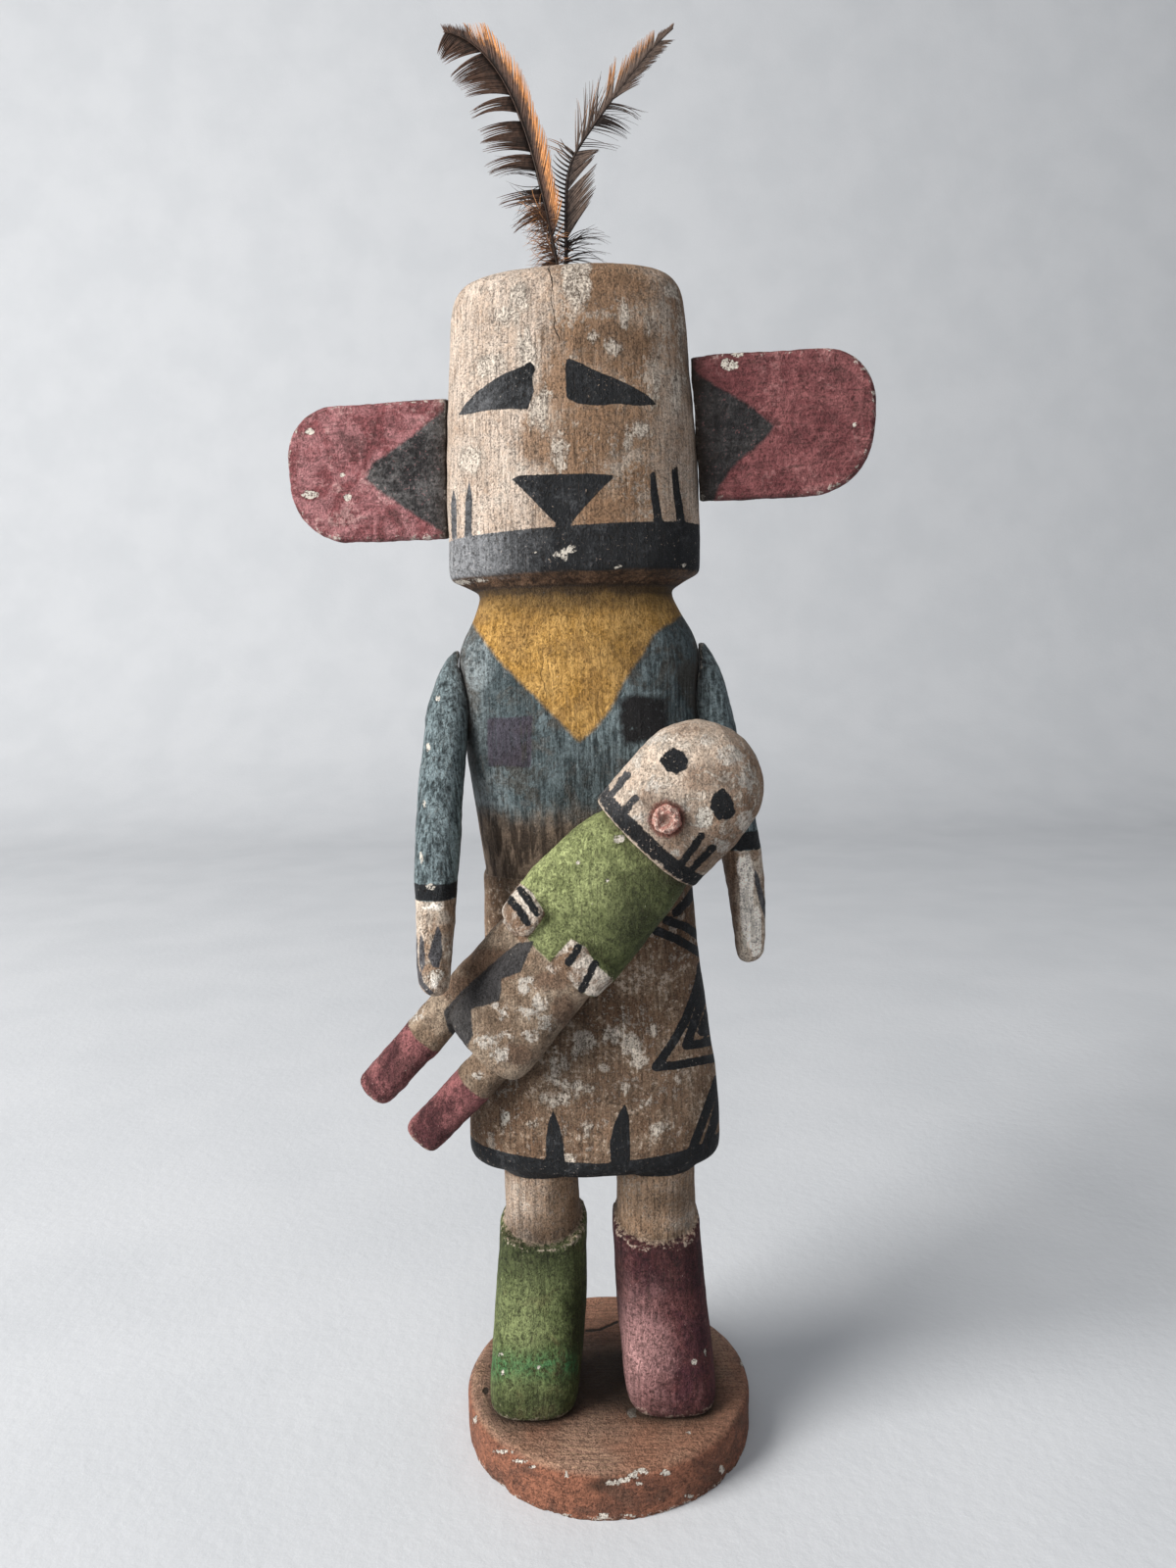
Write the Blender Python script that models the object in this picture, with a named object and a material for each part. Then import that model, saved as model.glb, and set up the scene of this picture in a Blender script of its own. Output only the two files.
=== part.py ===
"""A carved and painted standing doll on a round plinth, with board ears, a child doll and two feathers.

Metres, +Z up. The origin is the centre of the plinth's underside, and the doll faces -Y.
Right and left are the doll's own, so its right side is at -X.
"""
import math

import bmesh
import bpy
from mathutils import Matrix, Vector

# Room left between two pieces that touch
GAP = 0.0003

# Plinth, and how far to its right the figure stands on it
PLINTH_RADIUS = 0.0602
PLINTH_THICKNESS = 0.0191
PLINTH_EDGE_ROUND = 0.0040
FIGURE_SHIFT = -0.0015

# Heights of the standing figure, from the plinth up
LEG_HEIGHT = 0.0980
SKIRT_HEIGHT = 0.1220
TORSO_HEIGHT = 0.1122
MASK_OVERHANG_RISE = 0.0052
MASK_HEIGHT = 0.1155

# Widths, depths, rounded edges and section shapes of the standing figure
SKIRT_WIDTH = 0.1060
SKIRT_DEPTH = 0.0530
SKIRT_SQUARENESS = 2.1
HEM_ROUND = 0.0070
TORSO_WIDTH = 0.0980
TORSO_DEPTH = 0.0520
TORSO_SQUARENESS = 2.3
MASK_WIDTH = 0.1016
MASK_DEPTH = 0.0580
MASK_SQUARENESS = 2.0
MASK_RIM_ROUND = 0.0026
MASK_TOP_ROUND = 0.0125
MASK_TURN = math.radians(-9)

# Legs and boots
RIGHT_LEG_WIDTH = 0.0312
LEFT_LEG_WIDTH = 0.0333
LEG_DEPTH = 0.0360
LEG_SPREAD = 0.0238
LEGS_MIDDLE = -0.0008
LEG_IN_SKIRT = 0.0080
BOOT_WIDTH = 0.0388
BOOT_HEIGHT = 0.0735
BOOT_DEPTH = 0.0540
BOOT_SOLE_ROUND = 0.0030
BOOT_SOLE_SQUARENESS = 3.6
BOOT_TOP_SQUARENESS = 2.7
CUFF_DIP = 0.0045
CUFF_STEP = 0.0012

# Ear boards
EAR_REACH = 0.1172
EAR_HEIGHT = 0.0548
EAR_THICKNESS = 0.0055
EAR_UPPER_CORNER = 0.0200
EAR_LOWER_CORNER = 0.0250
EAR_EDGE_ROUND = 0.0014
EAR_SEAT_DEPTH = 0.0050
# How high up the mask each ear's middle sits, as a share of the mask's height
RIGHT_EAR_SHARE = 0.3922
LEFT_EAR_SHARE = 0.4805

# Arms of the standing figure: how far the shoulder stands out from the torso and drops below the neck,
# then the arm's length, its swing to the front, its splay to the side and where its bow is fullest: under 1
# nearer the shoulder, above it nearer the hand
ARM_WIDTH = 0.0178
ARM_DEPTH = 0.0190
ARM_TIP_ROUND = 0.0055
ARM_TOP_DOME = 0.0240
ARM_BOW = 0.0033
RIGHT_SHOULDER_OUT = 0.0032
RIGHT_SHOULDER_DROP = 0.0226
RIGHT_ARM_LENGTH = 0.1364
RIGHT_ARM_SWING = math.radians(19.3)
RIGHT_ARM_SPLAY = math.radians(3.7)
RIGHT_ARM_BOW_PLACE = 0.75
LEFT_SHOULDER_OUT = -0.0055
LEFT_SHOULDER_DROP = 0.0211
LEFT_ARM_LENGTH = 0.1334
LEFT_ARM_SWING = math.radians(-0.9)
LEFT_ARM_SPLAY = math.radians(9.0)
LEFT_ARM_BOW_PLACE = 1.8

# Child doll: it lies across the front of the standing figure, and its lengths run along its own axis
# from the rim of its head, at the back of its neck
CHILD_NECK_ASIDE = 0.0226
CHILD_NECK_RISE = 0.0184
CHILD_SINK = 0.0002
CHILD_TILT = math.radians(47.3)
CHILD_LEAN = math.radians(7)
CHILD_ROLL = math.radians(8)
CHILD_HEAD_LENGTH = 0.0517
CHILD_HEAD_WIDTH = 0.0492
CHILD_HEAD_DEPTH = 0.0400
CHILD_DOME_LENGTH = 0.0240
CHILD_RIM_ROUND = 0.0012
CHILD_NECK_IN_HEAD = 0.0010
CHILD_TORSO_LENGTH = 0.0580
CHILD_TORSO_WIDTH = 0.0530
CHILD_TORSO_DEPTH = 0.0270
CHILD_TORSO_SHIFT = -0.0020
CHILD_TORSO_SQUARENESS = 2.6
CHILD_ELBOW_ROUND = 0.0050
CHILD_KILT_END = 0.1065
CHILD_KILT_WIDTH = 0.0395
CHILD_KILT_DEPTH = 0.0250
CHILD_KILT_TAPER = 0.0025
CHILD_KILT_ROUND = 0.0070
CHILD_KILT_SHIFT = -0.0090
CHILD_KILT_OUT = 0.0010
CHILD_KILT_SQUARENESS = 3.0
CHILD_LEGS_END = 0.1540
CHILD_LEG_WIDTH = 0.0168
CHILD_LEG_DEPTH = 0.0160
CHILD_LEG_SPREAD = 0.0135
CHILD_LEG_ROUND = 0.0030
CHILD_LEG_OUT = 0.0020
CHILD_LEG_SQUARENESS = 2.5
CHILD_FOREARM_WIDTH = 0.0150
CHILD_FOREARM_DEPTH = 0.0090
CHILD_FOREARM_RELIEF = 0.0032
CHILD_FOREARM_SINK = 0.0050
CHILD_FOREARM_ROUND = 0.0030
CHILD_FOREARM_SQUARENESS = 3.0
CHILD_HAND_GAP = 0.0130
CHILD_HANDS_SHIFT = 0.0030
SNOUT_RADIUS = 0.0052
SNOUT_LENGTH = 0.0052
SNOUT_SEAT_DEPTH = 0.0020
SNOUT_RISE = 0.0150

# Feathers, and where their quills stand in the crown: to the side and to the back of the figure's axis
QUILL_RADIUS = 0.0009
QUILL_DEPTH = 0.0100
QUILL_SHOWING = 0.0015
VANE_THICKNESS = 0.0007
RIGHT_FEATHER_LENGTH = 0.1030
RIGHT_OUTER_VANE = 0.0155
RIGHT_INNER_VANE = 0.0052
LEFT_FEATHER_LENGTH = 0.1045
LEFT_INNER_VANE = 0.0058
LEFT_LOWER_VANE = 0.0115
LEFT_UPPER_VANE = 0.0070
RIGHT_QUILL_PLACE = (-0.0090, -0.0010)
LEFT_QUILL_PLACE = (-0.0062, 0.0016)

# Fineness of the faceted surfaces
BODY_SIDES = 36
LIMB_SIDES = 20
CHILD_SIDES = 22
SMALL_SIDES = 14
PLINTH_SIDES = 60
VANE_STEPS = 44

# Levels that follow from the heights
PLINTH_TOP = PLINTH_THICKNESS
HEM_LEVEL = PLINTH_TOP + LEG_HEIGHT
WAIST_LEVEL = HEM_LEVEL + SKIRT_HEIGHT
NECK_LEVEL = WAIST_LEVEL + TORSO_HEIGHT
RIM_LEVEL = NECK_LEVEL + MASK_OVERHANG_RISE
CROWN_LEVEL = RIM_LEVEL + MASK_HEIGHT

# Profiles of the standing figure: share of the form's height, share of its width, share of its depth, and
# its shift to the side as a share of its width. The doll drifts a little to its right on the way up.
SKIRT_PROFILE = (
    (0.00, 1.000, 1.00, -0.016),
    (0.12, 1.000, 1.00, -0.016),
    (0.40, 0.930, 0.96, -0.017),
    (0.68, 0.845, 0.90, -0.016),
    (1.00, 0.800, 0.85, -0.026),
)
TORSO_PROFILE = (
    (0.00, 0.850, 0.85, -0.020),
    (0.22, 0.915, 0.93, -0.030),
    (0.42, 0.955, 1.00, -0.039),
    (0.62, 0.966, 0.99, -0.046),
    (0.78, 1.000, 0.94, -0.043),
    (0.84, 0.958, 0.90, -0.039),
    (0.94, 0.808, 0.83, -0.046),
    (1.00, 0.776, 0.80, -0.050),
)
MASK_PROFILE = (
    (0.00, 1.000, 1.00, -0.055),
    (0.31, 0.990, 0.99, -0.059),
    (0.57, 0.964, 0.97, -0.062),
    (0.80, 0.922, 0.94, -0.064),
    (1.00, 0.900, 0.92, -0.064),
)
# Boot: share of its height, of its width and of its depth, then outward drift and shift to the back in
# boot widths
BOOT_PROFILE = (
    (0.00, 0.975, 0.99, 0.127, -0.144),
    (0.15, 0.990, 1.00, 0.103, -0.147),
    (0.30, 1.005, 0.96, 0.073, -0.124),
    (0.42, 1.005, 0.90, 0.055, -0.092),
    (0.58, 0.985, 0.82, 0.030, -0.050),
    (1.00, 0.950, 0.78, -0.005, -0.040),
)
# Arm: share of its length from the fingertips up, share of its width, share of its depth
ARM_PROFILE = (
    (0.00, 0.64, 0.62),
    (0.12, 0.76, 0.76),
    (0.27, 0.90, 0.90),
    (0.48, 1.00, 1.00),
    (0.80, 0.97, 1.00),
    (1.00, 0.97, 1.00),
)
# Child's torso: share of its length from the elbows up to the neck, width share, depth share, and its shift
# to the right hand as a share of its width
CHILD_TORSO_PROFILE = (
    (0.00, 0.960, 1.00, 0.000),
    (0.10, 1.000, 1.00, 0.000),
    (0.35, 0.965, 1.00, 0.018),
    (0.75, 0.900, 0.96, 0.024),
    (1.00, 0.740, 0.90, 0.000),
)
# Snout stub: share of its length from its seat out, share of its radius
SNOUT_PROFILE = (
    (0.00, 1.00),
    (0.72, 0.96),
    (0.94, 0.86),
    (1.00, 0.74),
)


def clear_scene():
    for old in list(bpy.data.objects):
        bpy.data.objects.remove(old, do_unlink=True)


def paint(name, colour, roughness):
    material = bpy.data.materials.new(name)
    material.use_nodes = True
    shader = material.node_tree.nodes["Principled BSDF"]
    shader.inputs["Base Color"].default_value = (*colour, 1.0)
    shader.inputs["Roughness"].default_value = roughness
    shader.inputs["Metallic"].default_value = 0.0
    return material


def read_profile(rows, share):
    """Reads a profile at a share of its length, along a smooth curve that never overshoots its rows."""
    last = len(rows) - 1
    k = next((i for i in range(last) if share <= rows[i + 1][0]), last - 1)
    span = rows[k + 1][0] - rows[k][0]
    t = min(max((share - rows[k][0]) / span, 0.0), 1.0)
    values = []
    for column in range(1, len(rows[0])):
        slopes = [(b[column] - a[column]) / (b[0] - a[0]) for a, b in zip(rows, rows[1:])]
        ends = []
        for i in (k, k + 1):
            before = slopes[max(i - 1, 0)]
            after = slopes[min(i, last - 1)]
            ends.append(2 * before * after / (before + after) if before * after > 0 else 0.0)
        low = rows[k][column]
        high = rows[k + 1][column]
        values.append((2 * t ** 3 - 3 * t ** 2 + 1) * low + (3 * t ** 2 - 2 * t ** 3) * high
                      + span * ((t ** 3 - 2 * t ** 2 + t) * ends[0] + (t ** 3 - t ** 2) * ends[1]))
    return values


def ease(share):
    """Runs from 0 to 1 with soft ends."""
    t = min(max(share, 0.0), 1.0)
    return t * t * (3 - 2 * t)


def set_back(distance, radius):
    """How far a rounded edge stands back, at a distance from the end that it rounds."""
    if distance >= radius:
        return 0.0
    return radius - math.sqrt(radius ** 2 - (radius - distance) ** 2)


def dome_share(distance, length):
    """Share of the full width, at a distance from a long domed end that keeps a small flat."""
    t = min(max(distance / length, 0.03), 1.0)
    return math.sqrt(1 - (1 - t) ** 2)


def stations(length, steps, low_round=0.0, high_round=0.0):
    """Distances along a form, close together where its ends are rounded."""
    arc = (0.0, 0.12, 0.45)
    low = [low_round * share for share in arc] if low_round else []
    high = [length - high_round * share for share in reversed(arc)] if high_round else []
    span = length - high_round - low_round
    return low + [low_round + span * i / steps for i in range(steps + 1)] + high


def oval(half_width, half_depth, sides, squareness=2.3, turn=0.0):
    """One closed flat section: an ellipse at squareness 2, and squarer above it."""
    points = []
    for i in range(sides):
        angle = 2 * math.pi * (i + 0.5) / sides
        c = math.cos(angle)
        s = math.sin(angle)
        points.append(Vector((math.copysign(abs(c) ** (2 / squareness), c) * half_width,
                              math.copysign(abs(s) ** (2 / squareness), s) * half_depth)))
    return [Matrix.Rotation(turn, 2) @ p for p in points]


def ring(section, centre, along=(0, 0, 1), side=(1, 0, 0)):
    """Sets a flat section square to a direction, at a centre."""
    across = Vector(side)
    deep = Vector(along).cross(across)
    return [Vector(centre) + across * p.x + deep * p.y for p in section]


def loft(name, rings, material=None):
    """Skins a stack of rings with the same number of points into one closed body."""
    body = bmesh.new()
    rows = [[body.verts.new(p) for p in points] for points in rings]
    count = len(rows[0])
    for low, high in zip(rows, rows[1:]):
        for i in range(count):
            j = (i + 1) % count
            body.faces.new((low[i], low[j], high[j], high[i]))
    body.faces.new(rows[0])
    body.faces.new(rows[-1])
    bmesh.ops.recalc_face_normals(body, faces=body.faces[:])
    mesh = bpy.data.meshes.new(name)
    body.to_mesh(mesh)
    body.free()
    mesh.shade_smooth()
    mesh.set_sharp_from_angle(angle=math.radians(40))
    if material:
        mesh.materials.append(material)
    thing = bpy.data.objects.new(name, mesh)
    bpy.context.scene.collection.objects.link(thing)
    return thing


def join_or_cut(target, tool, operation):
    """Joins a guide to a piece, or cuts it away. The guide itself is hidden."""
    tool.hide_render = True
    tool.display_type = "WIRE"
    change = target.modifiers.new(tool.name, "BOOLEAN")
    change.operation = operation
    change.solver = "EXACT"
    change.object = tool


def upright_form(profile, low, height, width, depth, squareness, steps, low_round=0.0, high_round=0.0,
                 grow=0.0, turn=0.0):
    """Rings of one upright carved form. Grown by a clearance, its neighbours are seated against it."""
    rings = []
    for level in stations(height, steps, low_round, high_round):
        wide, deep, shift = read_profile(profile, level / height)
        back = 0.0
        if low_round:
            back = max(back, set_back(level, low_round))
        if high_round:
            back = max(back, set_back(height - level, high_round))
        section = oval(wide * width / 2 - back + grow, deep * depth / 2 - back + grow, BODY_SIDES,
                       squareness, turn)
        rings.append(ring(section, (FIGURE_SHIFT + shift * width, 0, low + level)))
    return rings


def trunk_rings(grow=0.0):
    """Skirt, torso and mask, from the hem to the crown. The mask overhangs the neck."""
    skirt = upright_form(SKIRT_PROFILE, HEM_LEVEL, SKIRT_HEIGHT, SKIRT_WIDTH, SKIRT_DEPTH,
                         SKIRT_SQUARENESS, 6, low_round=HEM_ROUND, grow=grow)
    torso = upright_form(TORSO_PROFILE, WAIST_LEVEL, TORSO_HEIGHT, TORSO_WIDTH, TORSO_DEPTH,
                         TORSO_SQUARENESS, 12, grow=grow)
    mask = upright_form(MASK_PROFILE, RIM_LEVEL, MASK_HEIGHT, MASK_WIDTH, MASK_DEPTH, MASK_SQUARENESS, 5,
                        low_round=MASK_RIM_ROUND, high_round=MASK_TOP_ROUND, grow=grow, turn=MASK_TURN)
    return skirt + torso + mask


def dip_front(points):
    """Lowers the front of a cuff's edge in a shallow U."""
    front = min(p.y for p in points)
    back = max(p.y for p in points)
    middle = (front + back) / 2
    dips = [CUFF_DIP * max(0.0, (middle - p.y) / (middle - front)) ** 1.5 for p in points]
    return [p - Vector((0, 0, dip)) for p, dip in zip(points, dips)]


def make_leg(name, side, leg_width):
    """One leg with its boot, from the sole to inside the skirt. side is -1 for the doll's right."""
    hip = FIGURE_SHIFT + LEGS_MIDDLE + side * LEG_SPREAD
    rings = []
    for level in stations(BOOT_HEIGHT, 6, BOOT_SOLE_ROUND):
        share = level / BOOT_HEIGHT
        wide, deep, drift, forward = read_profile(BOOT_PROFILE, share)
        back = set_back(level, BOOT_SOLE_ROUND)
        squareness = BOOT_SOLE_SQUARENESS + (BOOT_TOP_SQUARENESS - BOOT_SOLE_SQUARENESS) * ease(2 * share)
        section = oval(wide * BOOT_WIDTH / 2 - back, deep * BOOT_DEPTH / 2 - back, LIMB_SIDES, squareness)
        centre = (hip + side * drift * BOOT_WIDTH, forward * BOOT_WIDTH, PLINTH_TOP + GAP + level)
        rings.append(ring(section, centre))
    rings[-1] = dip_front(rings[-1])
    shin = oval(leg_width / 2, LEG_DEPTH / 2, LIMB_SIDES)
    back = BOOT_PROFILE[-1][4] * BOOT_WIDTH
    cuff = PLINTH_TOP + BOOT_HEIGHT
    rings.append(dip_front(ring(shin, (hip, back, cuff - CUFF_STEP))))
    for level in ((cuff + HEM_LEVEL) / 2, HEM_LEVEL + LEG_IN_SKIRT):
        rings.append(ring(shin, (hip, back, level)))
    return loft(name, rings)


def quill_root(place):
    return Vector((FIGURE_SHIFT + place[0], place[1], CROWN_LEVEL))


def make_figure(material):
    """Mask, torso, skirt, legs and boots are one log, bored at the crown for the two quills."""
    figure = loft("figure", trunk_rings(), material)
    join_or_cut(figure, make_leg("right_leg_blank", -1, RIGHT_LEG_WIDTH), "UNION")
    join_or_cut(figure, make_leg("left_leg_blank", 1, LEFT_LEG_WIDTH), "UNION")
    bore = oval(QUILL_RADIUS + GAP, QUILL_RADIUS + GAP, SMALL_SIDES, 2)
    for name, place in (("right_quill_bore", RIGHT_QUILL_PLACE), ("left_quill_bore", LEFT_QUILL_PLACE)):
        root = quill_root(place)
        ends = [root + Vector((0, 0, rise)) for rise in (-QUILL_DEPTH - GAP, QUILL_DEPTH)]
        join_or_cut(figure, loft(name, [ring(bore, end) for end in ends]), "DIFFERENCE")
    return figure


def seat_on_figure(piece):
    """Cuts the figure's own form out of a piece that is fixed against it."""
    join_or_cut(piece, loft(piece.name + "_seat", trunk_rings(GAP)), "DIFFERENCE")


def make_plinth(material):
    steps = 5
    profile = [(0.0, PLINTH_RADIUS)]
    for i in range(steps + 1):
        angle = math.pi / 2 * i / steps
        profile.append((PLINTH_THICKNESS - PLINTH_EDGE_ROUND * (1 - math.sin(angle)),
                        PLINTH_RADIUS - PLINTH_EDGE_ROUND * (1 - math.cos(angle))))
    return loft("plinth", [ring(oval(r, r, PLINTH_SIDES, 2), (0, 0, z)) for z, r in profile], material)


def ear_outline(inset):
    """A board with a straight inner end and two rounded outer corners, drawn from the mask's middle out."""
    inner = MASK_WIDTH / 2 - EAR_SEAT_DEPTH
    half = EAR_HEIGHT / 2
    steps = 7
    points = [Vector((inner, inset - half)), Vector((inner, half - inset))]
    for corner, up, start in ((EAR_UPPER_CORNER, 1, 90), (EAR_LOWER_CORNER, -1, 0)):
        for i in range(steps + 1):
            angle = math.radians(start - 90 * i / steps)
            points.append(Vector((EAR_REACH - corner + (corner - inset) * math.cos(angle),
                                  up * (half - corner) + (corner - inset) * math.sin(angle))))
    return points


def make_ear(name, side, share, material):
    """A flat paddle that stands out from the side of the mask, in the mask's own turned plane."""
    shift = read_profile(MASK_PROFILE, share)[2]
    centre = Vector((FIGURE_SHIFT + shift * MASK_WIDTH, 0, RIM_LEVEL + share * MASK_HEIGHT))
    turn = Matrix.Rotation(MASK_TURN, 3, "Z")
    half = EAR_THICKNESS / 2
    layers = ((-half, EAR_EDGE_ROUND), (EAR_EDGE_ROUND - half, 0), (half - EAR_EDGE_ROUND, 0),
              (half, EAR_EDGE_ROUND))
    rings = [[centre + turn @ Vector((side * p.x, depth, p.y)) for p in ear_outline(inset)]
             for depth, inset in layers]
    ear = loft(name, rings, material)
    seat_on_figure(ear)
    return ear


def make_arm(name, side, shoulder, length, swing, splay, bow_place, material):
    """A carved arm, bowed outwards, that hangs from a domed shoulder and ends in a plain rounded hand."""
    out, drop = shoulder
    top = Vector((FIGURE_SHIFT + side * (TORSO_WIDTH / 2 + out), 0, NECK_LEVEL - drop))
    along = Vector((-side * math.sin(splay), math.cos(splay) * math.sin(swing),
                    math.cos(splay) * math.cos(swing)))
    across = (Vector((1, 0, 0)) - along * along.x).normalized()
    rings = []
    for level in stations(length, 8, ARM_TIP_ROUND, ARM_TOP_DOME):
        wide, deep = read_profile(ARM_PROFILE, level / length)
        domed = dome_share(length - level, ARM_TOP_DOME)
        back = set_back(level, ARM_TIP_ROUND)
        bow = side * ARM_BOW * math.sin(math.pi * (1 - level / length) ** bow_place)
        section = oval(wide * domed * ARM_WIDTH / 2 - back, deep * domed * ARM_DEPTH / 2 - back, LIMB_SIDES)
        rings.append(ring(section, top + along * (level - length) + Vector((bow, 0, 0)), along, across))
    arm = loft(name, rings, material)
    seat_on_figure(arm)
    return arm


def child_frame():
    """The child's own directions: up its axis, across to its right hand, and out of its front."""
    up = Vector((math.cos(CHILD_TILT), 0, math.sin(CHILD_TILT)))
    across = Vector((-math.sin(CHILD_TILT), 0, math.cos(CHILD_TILT)))
    front = Vector((0, -1, 0))
    up, front = (up * math.cos(CHILD_LEAN) + front * math.sin(CHILD_LEAN),
                 front * math.cos(CHILD_LEAN) - up * math.sin(CHILD_LEAN))
    across, front = (across * math.cos(CHILD_ROLL) - front * math.sin(CHILD_ROLL),
                     front * math.cos(CHILD_ROLL) + across * math.sin(CHILD_ROLL))
    return up, across, front


def child_point(along, across, out):
    """A place on the child, whose neck rests against the front of the figure's torso."""
    up, side, front = child_frame()
    neck = Vector((FIGURE_SHIFT + CHILD_NECK_ASIDE, CHILD_SINK - TORSO_DEPTH / 2,
                   WAIST_LEVEL + CHILD_NECK_RISE))
    return neck + up * along + side * across + front * out


def child_ring(half_width, half_depth, along, across, out, squareness=2.3):
    up, side, front = child_frame()
    section = oval(half_width, half_depth, CHILD_SIDES, squareness)
    return ring(section, child_point(along, across, out), up, side)


def child_head_rings(grow=0.0):
    """A cylinder with a domed top, whose rim overhangs the neck."""
    straight = CHILD_HEAD_LENGTH - CHILD_DOME_LENGTH
    middle = CHILD_HEAD_DEPTH / 2
    rings = []
    for level in stations(straight, 2, CHILD_RIM_ROUND):
        back = set_back(level, CHILD_RIM_ROUND) - grow
        rings.append(child_ring(CHILD_HEAD_WIDTH / 2 - back, CHILD_HEAD_DEPTH / 2 - back, level, 0, middle))
    steps = 7
    for i in range(1, steps + 1):
        angle = math.radians(86) * i / steps
        rings.append(child_ring(CHILD_HEAD_WIDTH / 2 * math.cos(angle) + grow,
                                CHILD_HEAD_DEPTH / 2 * math.cos(angle) + grow,
                                straight + (CHILD_DOME_LENGTH + grow) * math.sin(angle), 0, middle))
    return rings


def child_torso_rings():
    rings = []
    for level in stations(CHILD_TORSO_LENGTH, 5, CHILD_ELBOW_ROUND):
        wide, deep, shift = read_profile(CHILD_TORSO_PROFILE, level / CHILD_TORSO_LENGTH)
        back = set_back(level, CHILD_ELBOW_ROUND)
        rings.append(child_ring(wide * CHILD_TORSO_WIDTH / 2 - back,
                                deep * CHILD_TORSO_DEPTH / 2 - back / 2,
                                level - CHILD_TORSO_LENGTH + CHILD_NECK_IN_HEAD,
                                CHILD_TORSO_SHIFT + shift * CHILD_TORSO_WIDTH,
                                CHILD_TORSO_DEPTH / 2, CHILD_TORSO_SQUARENESS))
    return rings


def child_kilt_rings():
    length = CHILD_KILT_END - CHILD_TORSO_LENGTH * 0.8
    rings = []
    for level in stations(length, 3, CHILD_KILT_ROUND):
        back = set_back(level, CHILD_KILT_ROUND)
        narrow = CHILD_KILT_TAPER * level / length
        rings.append(child_ring(CHILD_KILT_WIDTH / 2 - back - narrow, CHILD_KILT_DEPTH / 2 - back * 0.4,
                                level - CHILD_KILT_END, CHILD_KILT_SHIFT + narrow,
                                CHILD_KILT_DEPTH / 2 + CHILD_KILT_OUT, CHILD_KILT_SQUARENESS))
    return rings


def child_leg_rings(side):
    length = CHILD_LEGS_END - CHILD_TORSO_LENGTH * 0.9
    rings = []
    for level in stations(length, 3, CHILD_LEG_ROUND):
        back = set_back(level, CHILD_LEG_ROUND)
        rings.append(child_ring(CHILD_LEG_WIDTH / 2 - back, CHILD_LEG_DEPTH / 2 - back,
                                level - CHILD_LEGS_END, CHILD_TORSO_SHIFT + side * CHILD_LEG_SPREAD,
                                CHILD_LEG_DEPTH / 2 + CHILD_LEG_OUT, CHILD_LEG_SQUARENESS))
    return rings


def child_forearm_rings(side):
    """A forearm and hand in relief, along the lower edge of the torso, pointing at the other hand."""
    up, across, front = child_frame()
    hand = CHILD_HAND_GAP / 2 + side * CHILD_HANDS_SHIFT
    length = CHILD_TORSO_WIDTH / 2 - hand - CHILD_NECK_IN_HEAD * 2
    place = CHILD_FOREARM_WIDTH / 2 - CHILD_TORSO_LENGTH
    out = CHILD_TORSO_DEPTH + CHILD_FOREARM_RELIEF - CHILD_FOREARM_DEPTH / 2
    rings = []
    for level in stations(length, 3, CHILD_FOREARM_ROUND, CHILD_FOREARM_ROUND):
        back = max(set_back(level, CHILD_FOREARM_ROUND), set_back(length - level, CHILD_FOREARM_ROUND))
        section = oval(CHILD_FOREARM_WIDTH / 2 - back, CHILD_FOREARM_DEPTH / 2 - back, SMALL_SIDES,
                       CHILD_FOREARM_SQUARENESS)
        sink = CHILD_FOREARM_SINK * (level / length) ** 2
        centre = child_point(place, CHILD_TORSO_SHIFT + side * (hand + level), out - sink)
        rings.append(ring(section, centre, across * side, up))
    return rings


def make_child(material):
    """Head, torso with folded forearms, kilt and legs are one carved piece, fixed to the figure's front."""
    child = loft("child", child_torso_rings(), material)
    blanks = {
        "child_head_blank": child_head_rings(),
        "child_kilt_blank": child_kilt_rings(),
        "child_right_leg_blank": child_leg_rings(1),
        "child_left_leg_blank": child_leg_rings(-1),
        "child_right_forearm_blank": child_forearm_rings(1),
        "child_left_forearm_blank": child_forearm_rings(-1),
    }
    for name, rings in blanks.items():
        join_or_cut(child, loft(name, rings), "UNION")
    seat_on_figure(child)
    return child


def make_snout(material):
    """The broken stub of a peg, standing out of the child's face."""
    up, across, front = child_frame()
    start = CHILD_HEAD_DEPTH - SNOUT_SEAT_DEPTH
    length = SNOUT_SEAT_DEPTH + SNOUT_LENGTH
    rings = []
    for share, size in SNOUT_PROFILE:
        radius = SNOUT_RADIUS * size
        centre = child_point(SNOUT_RISE, 0, start + length * share)
        rings.append(ring(oval(radius, radius, SMALL_SIDES, 2), centre, front, up))
    snout = loft("child_snout", rings, material)
    join_or_cut(snout, loft("child_snout_seat", child_head_rings(GAP)), "DIFFERENCE")
    return snout


def right_feather_heading(share):
    """Degrees from upright, towards the doll's right: almost straight, then curling over at the tip."""
    return -(10 + 26 * share ** 2 + 45 * share ** 6)


def left_feather_heading(share):
    """Degrees from upright: up at first, then bent across to the doll's left."""
    return 1.5 + 36 * ease((share - 0.27) / 0.26) + 14 * share ** 6


def clumps(share, count, deep):
    """Barbs stick together in clumps, which leave a saw edge: 1 at a clump's tip, less between clumps."""
    phase = (share * count) % 1.0
    return 1 - deep * abs(2 * phase - 1) ** 1.5


def vane_fullness(share, tip):
    """A vane grows out of the quill over its first tenth and closes again over the length of its tip."""
    return min(share / 0.10, 1.0) * min((1 - share) / tip + 0.15, 1.0)


def right_feather_widths(share):
    """Vane widths on the doll's right and left of the shaft."""
    full = vane_fullness(share, 0.06)
    return RIGHT_OUTER_VANE * full * clumps(share, 7, 0.60), RIGHT_INNER_VANE * full


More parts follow.
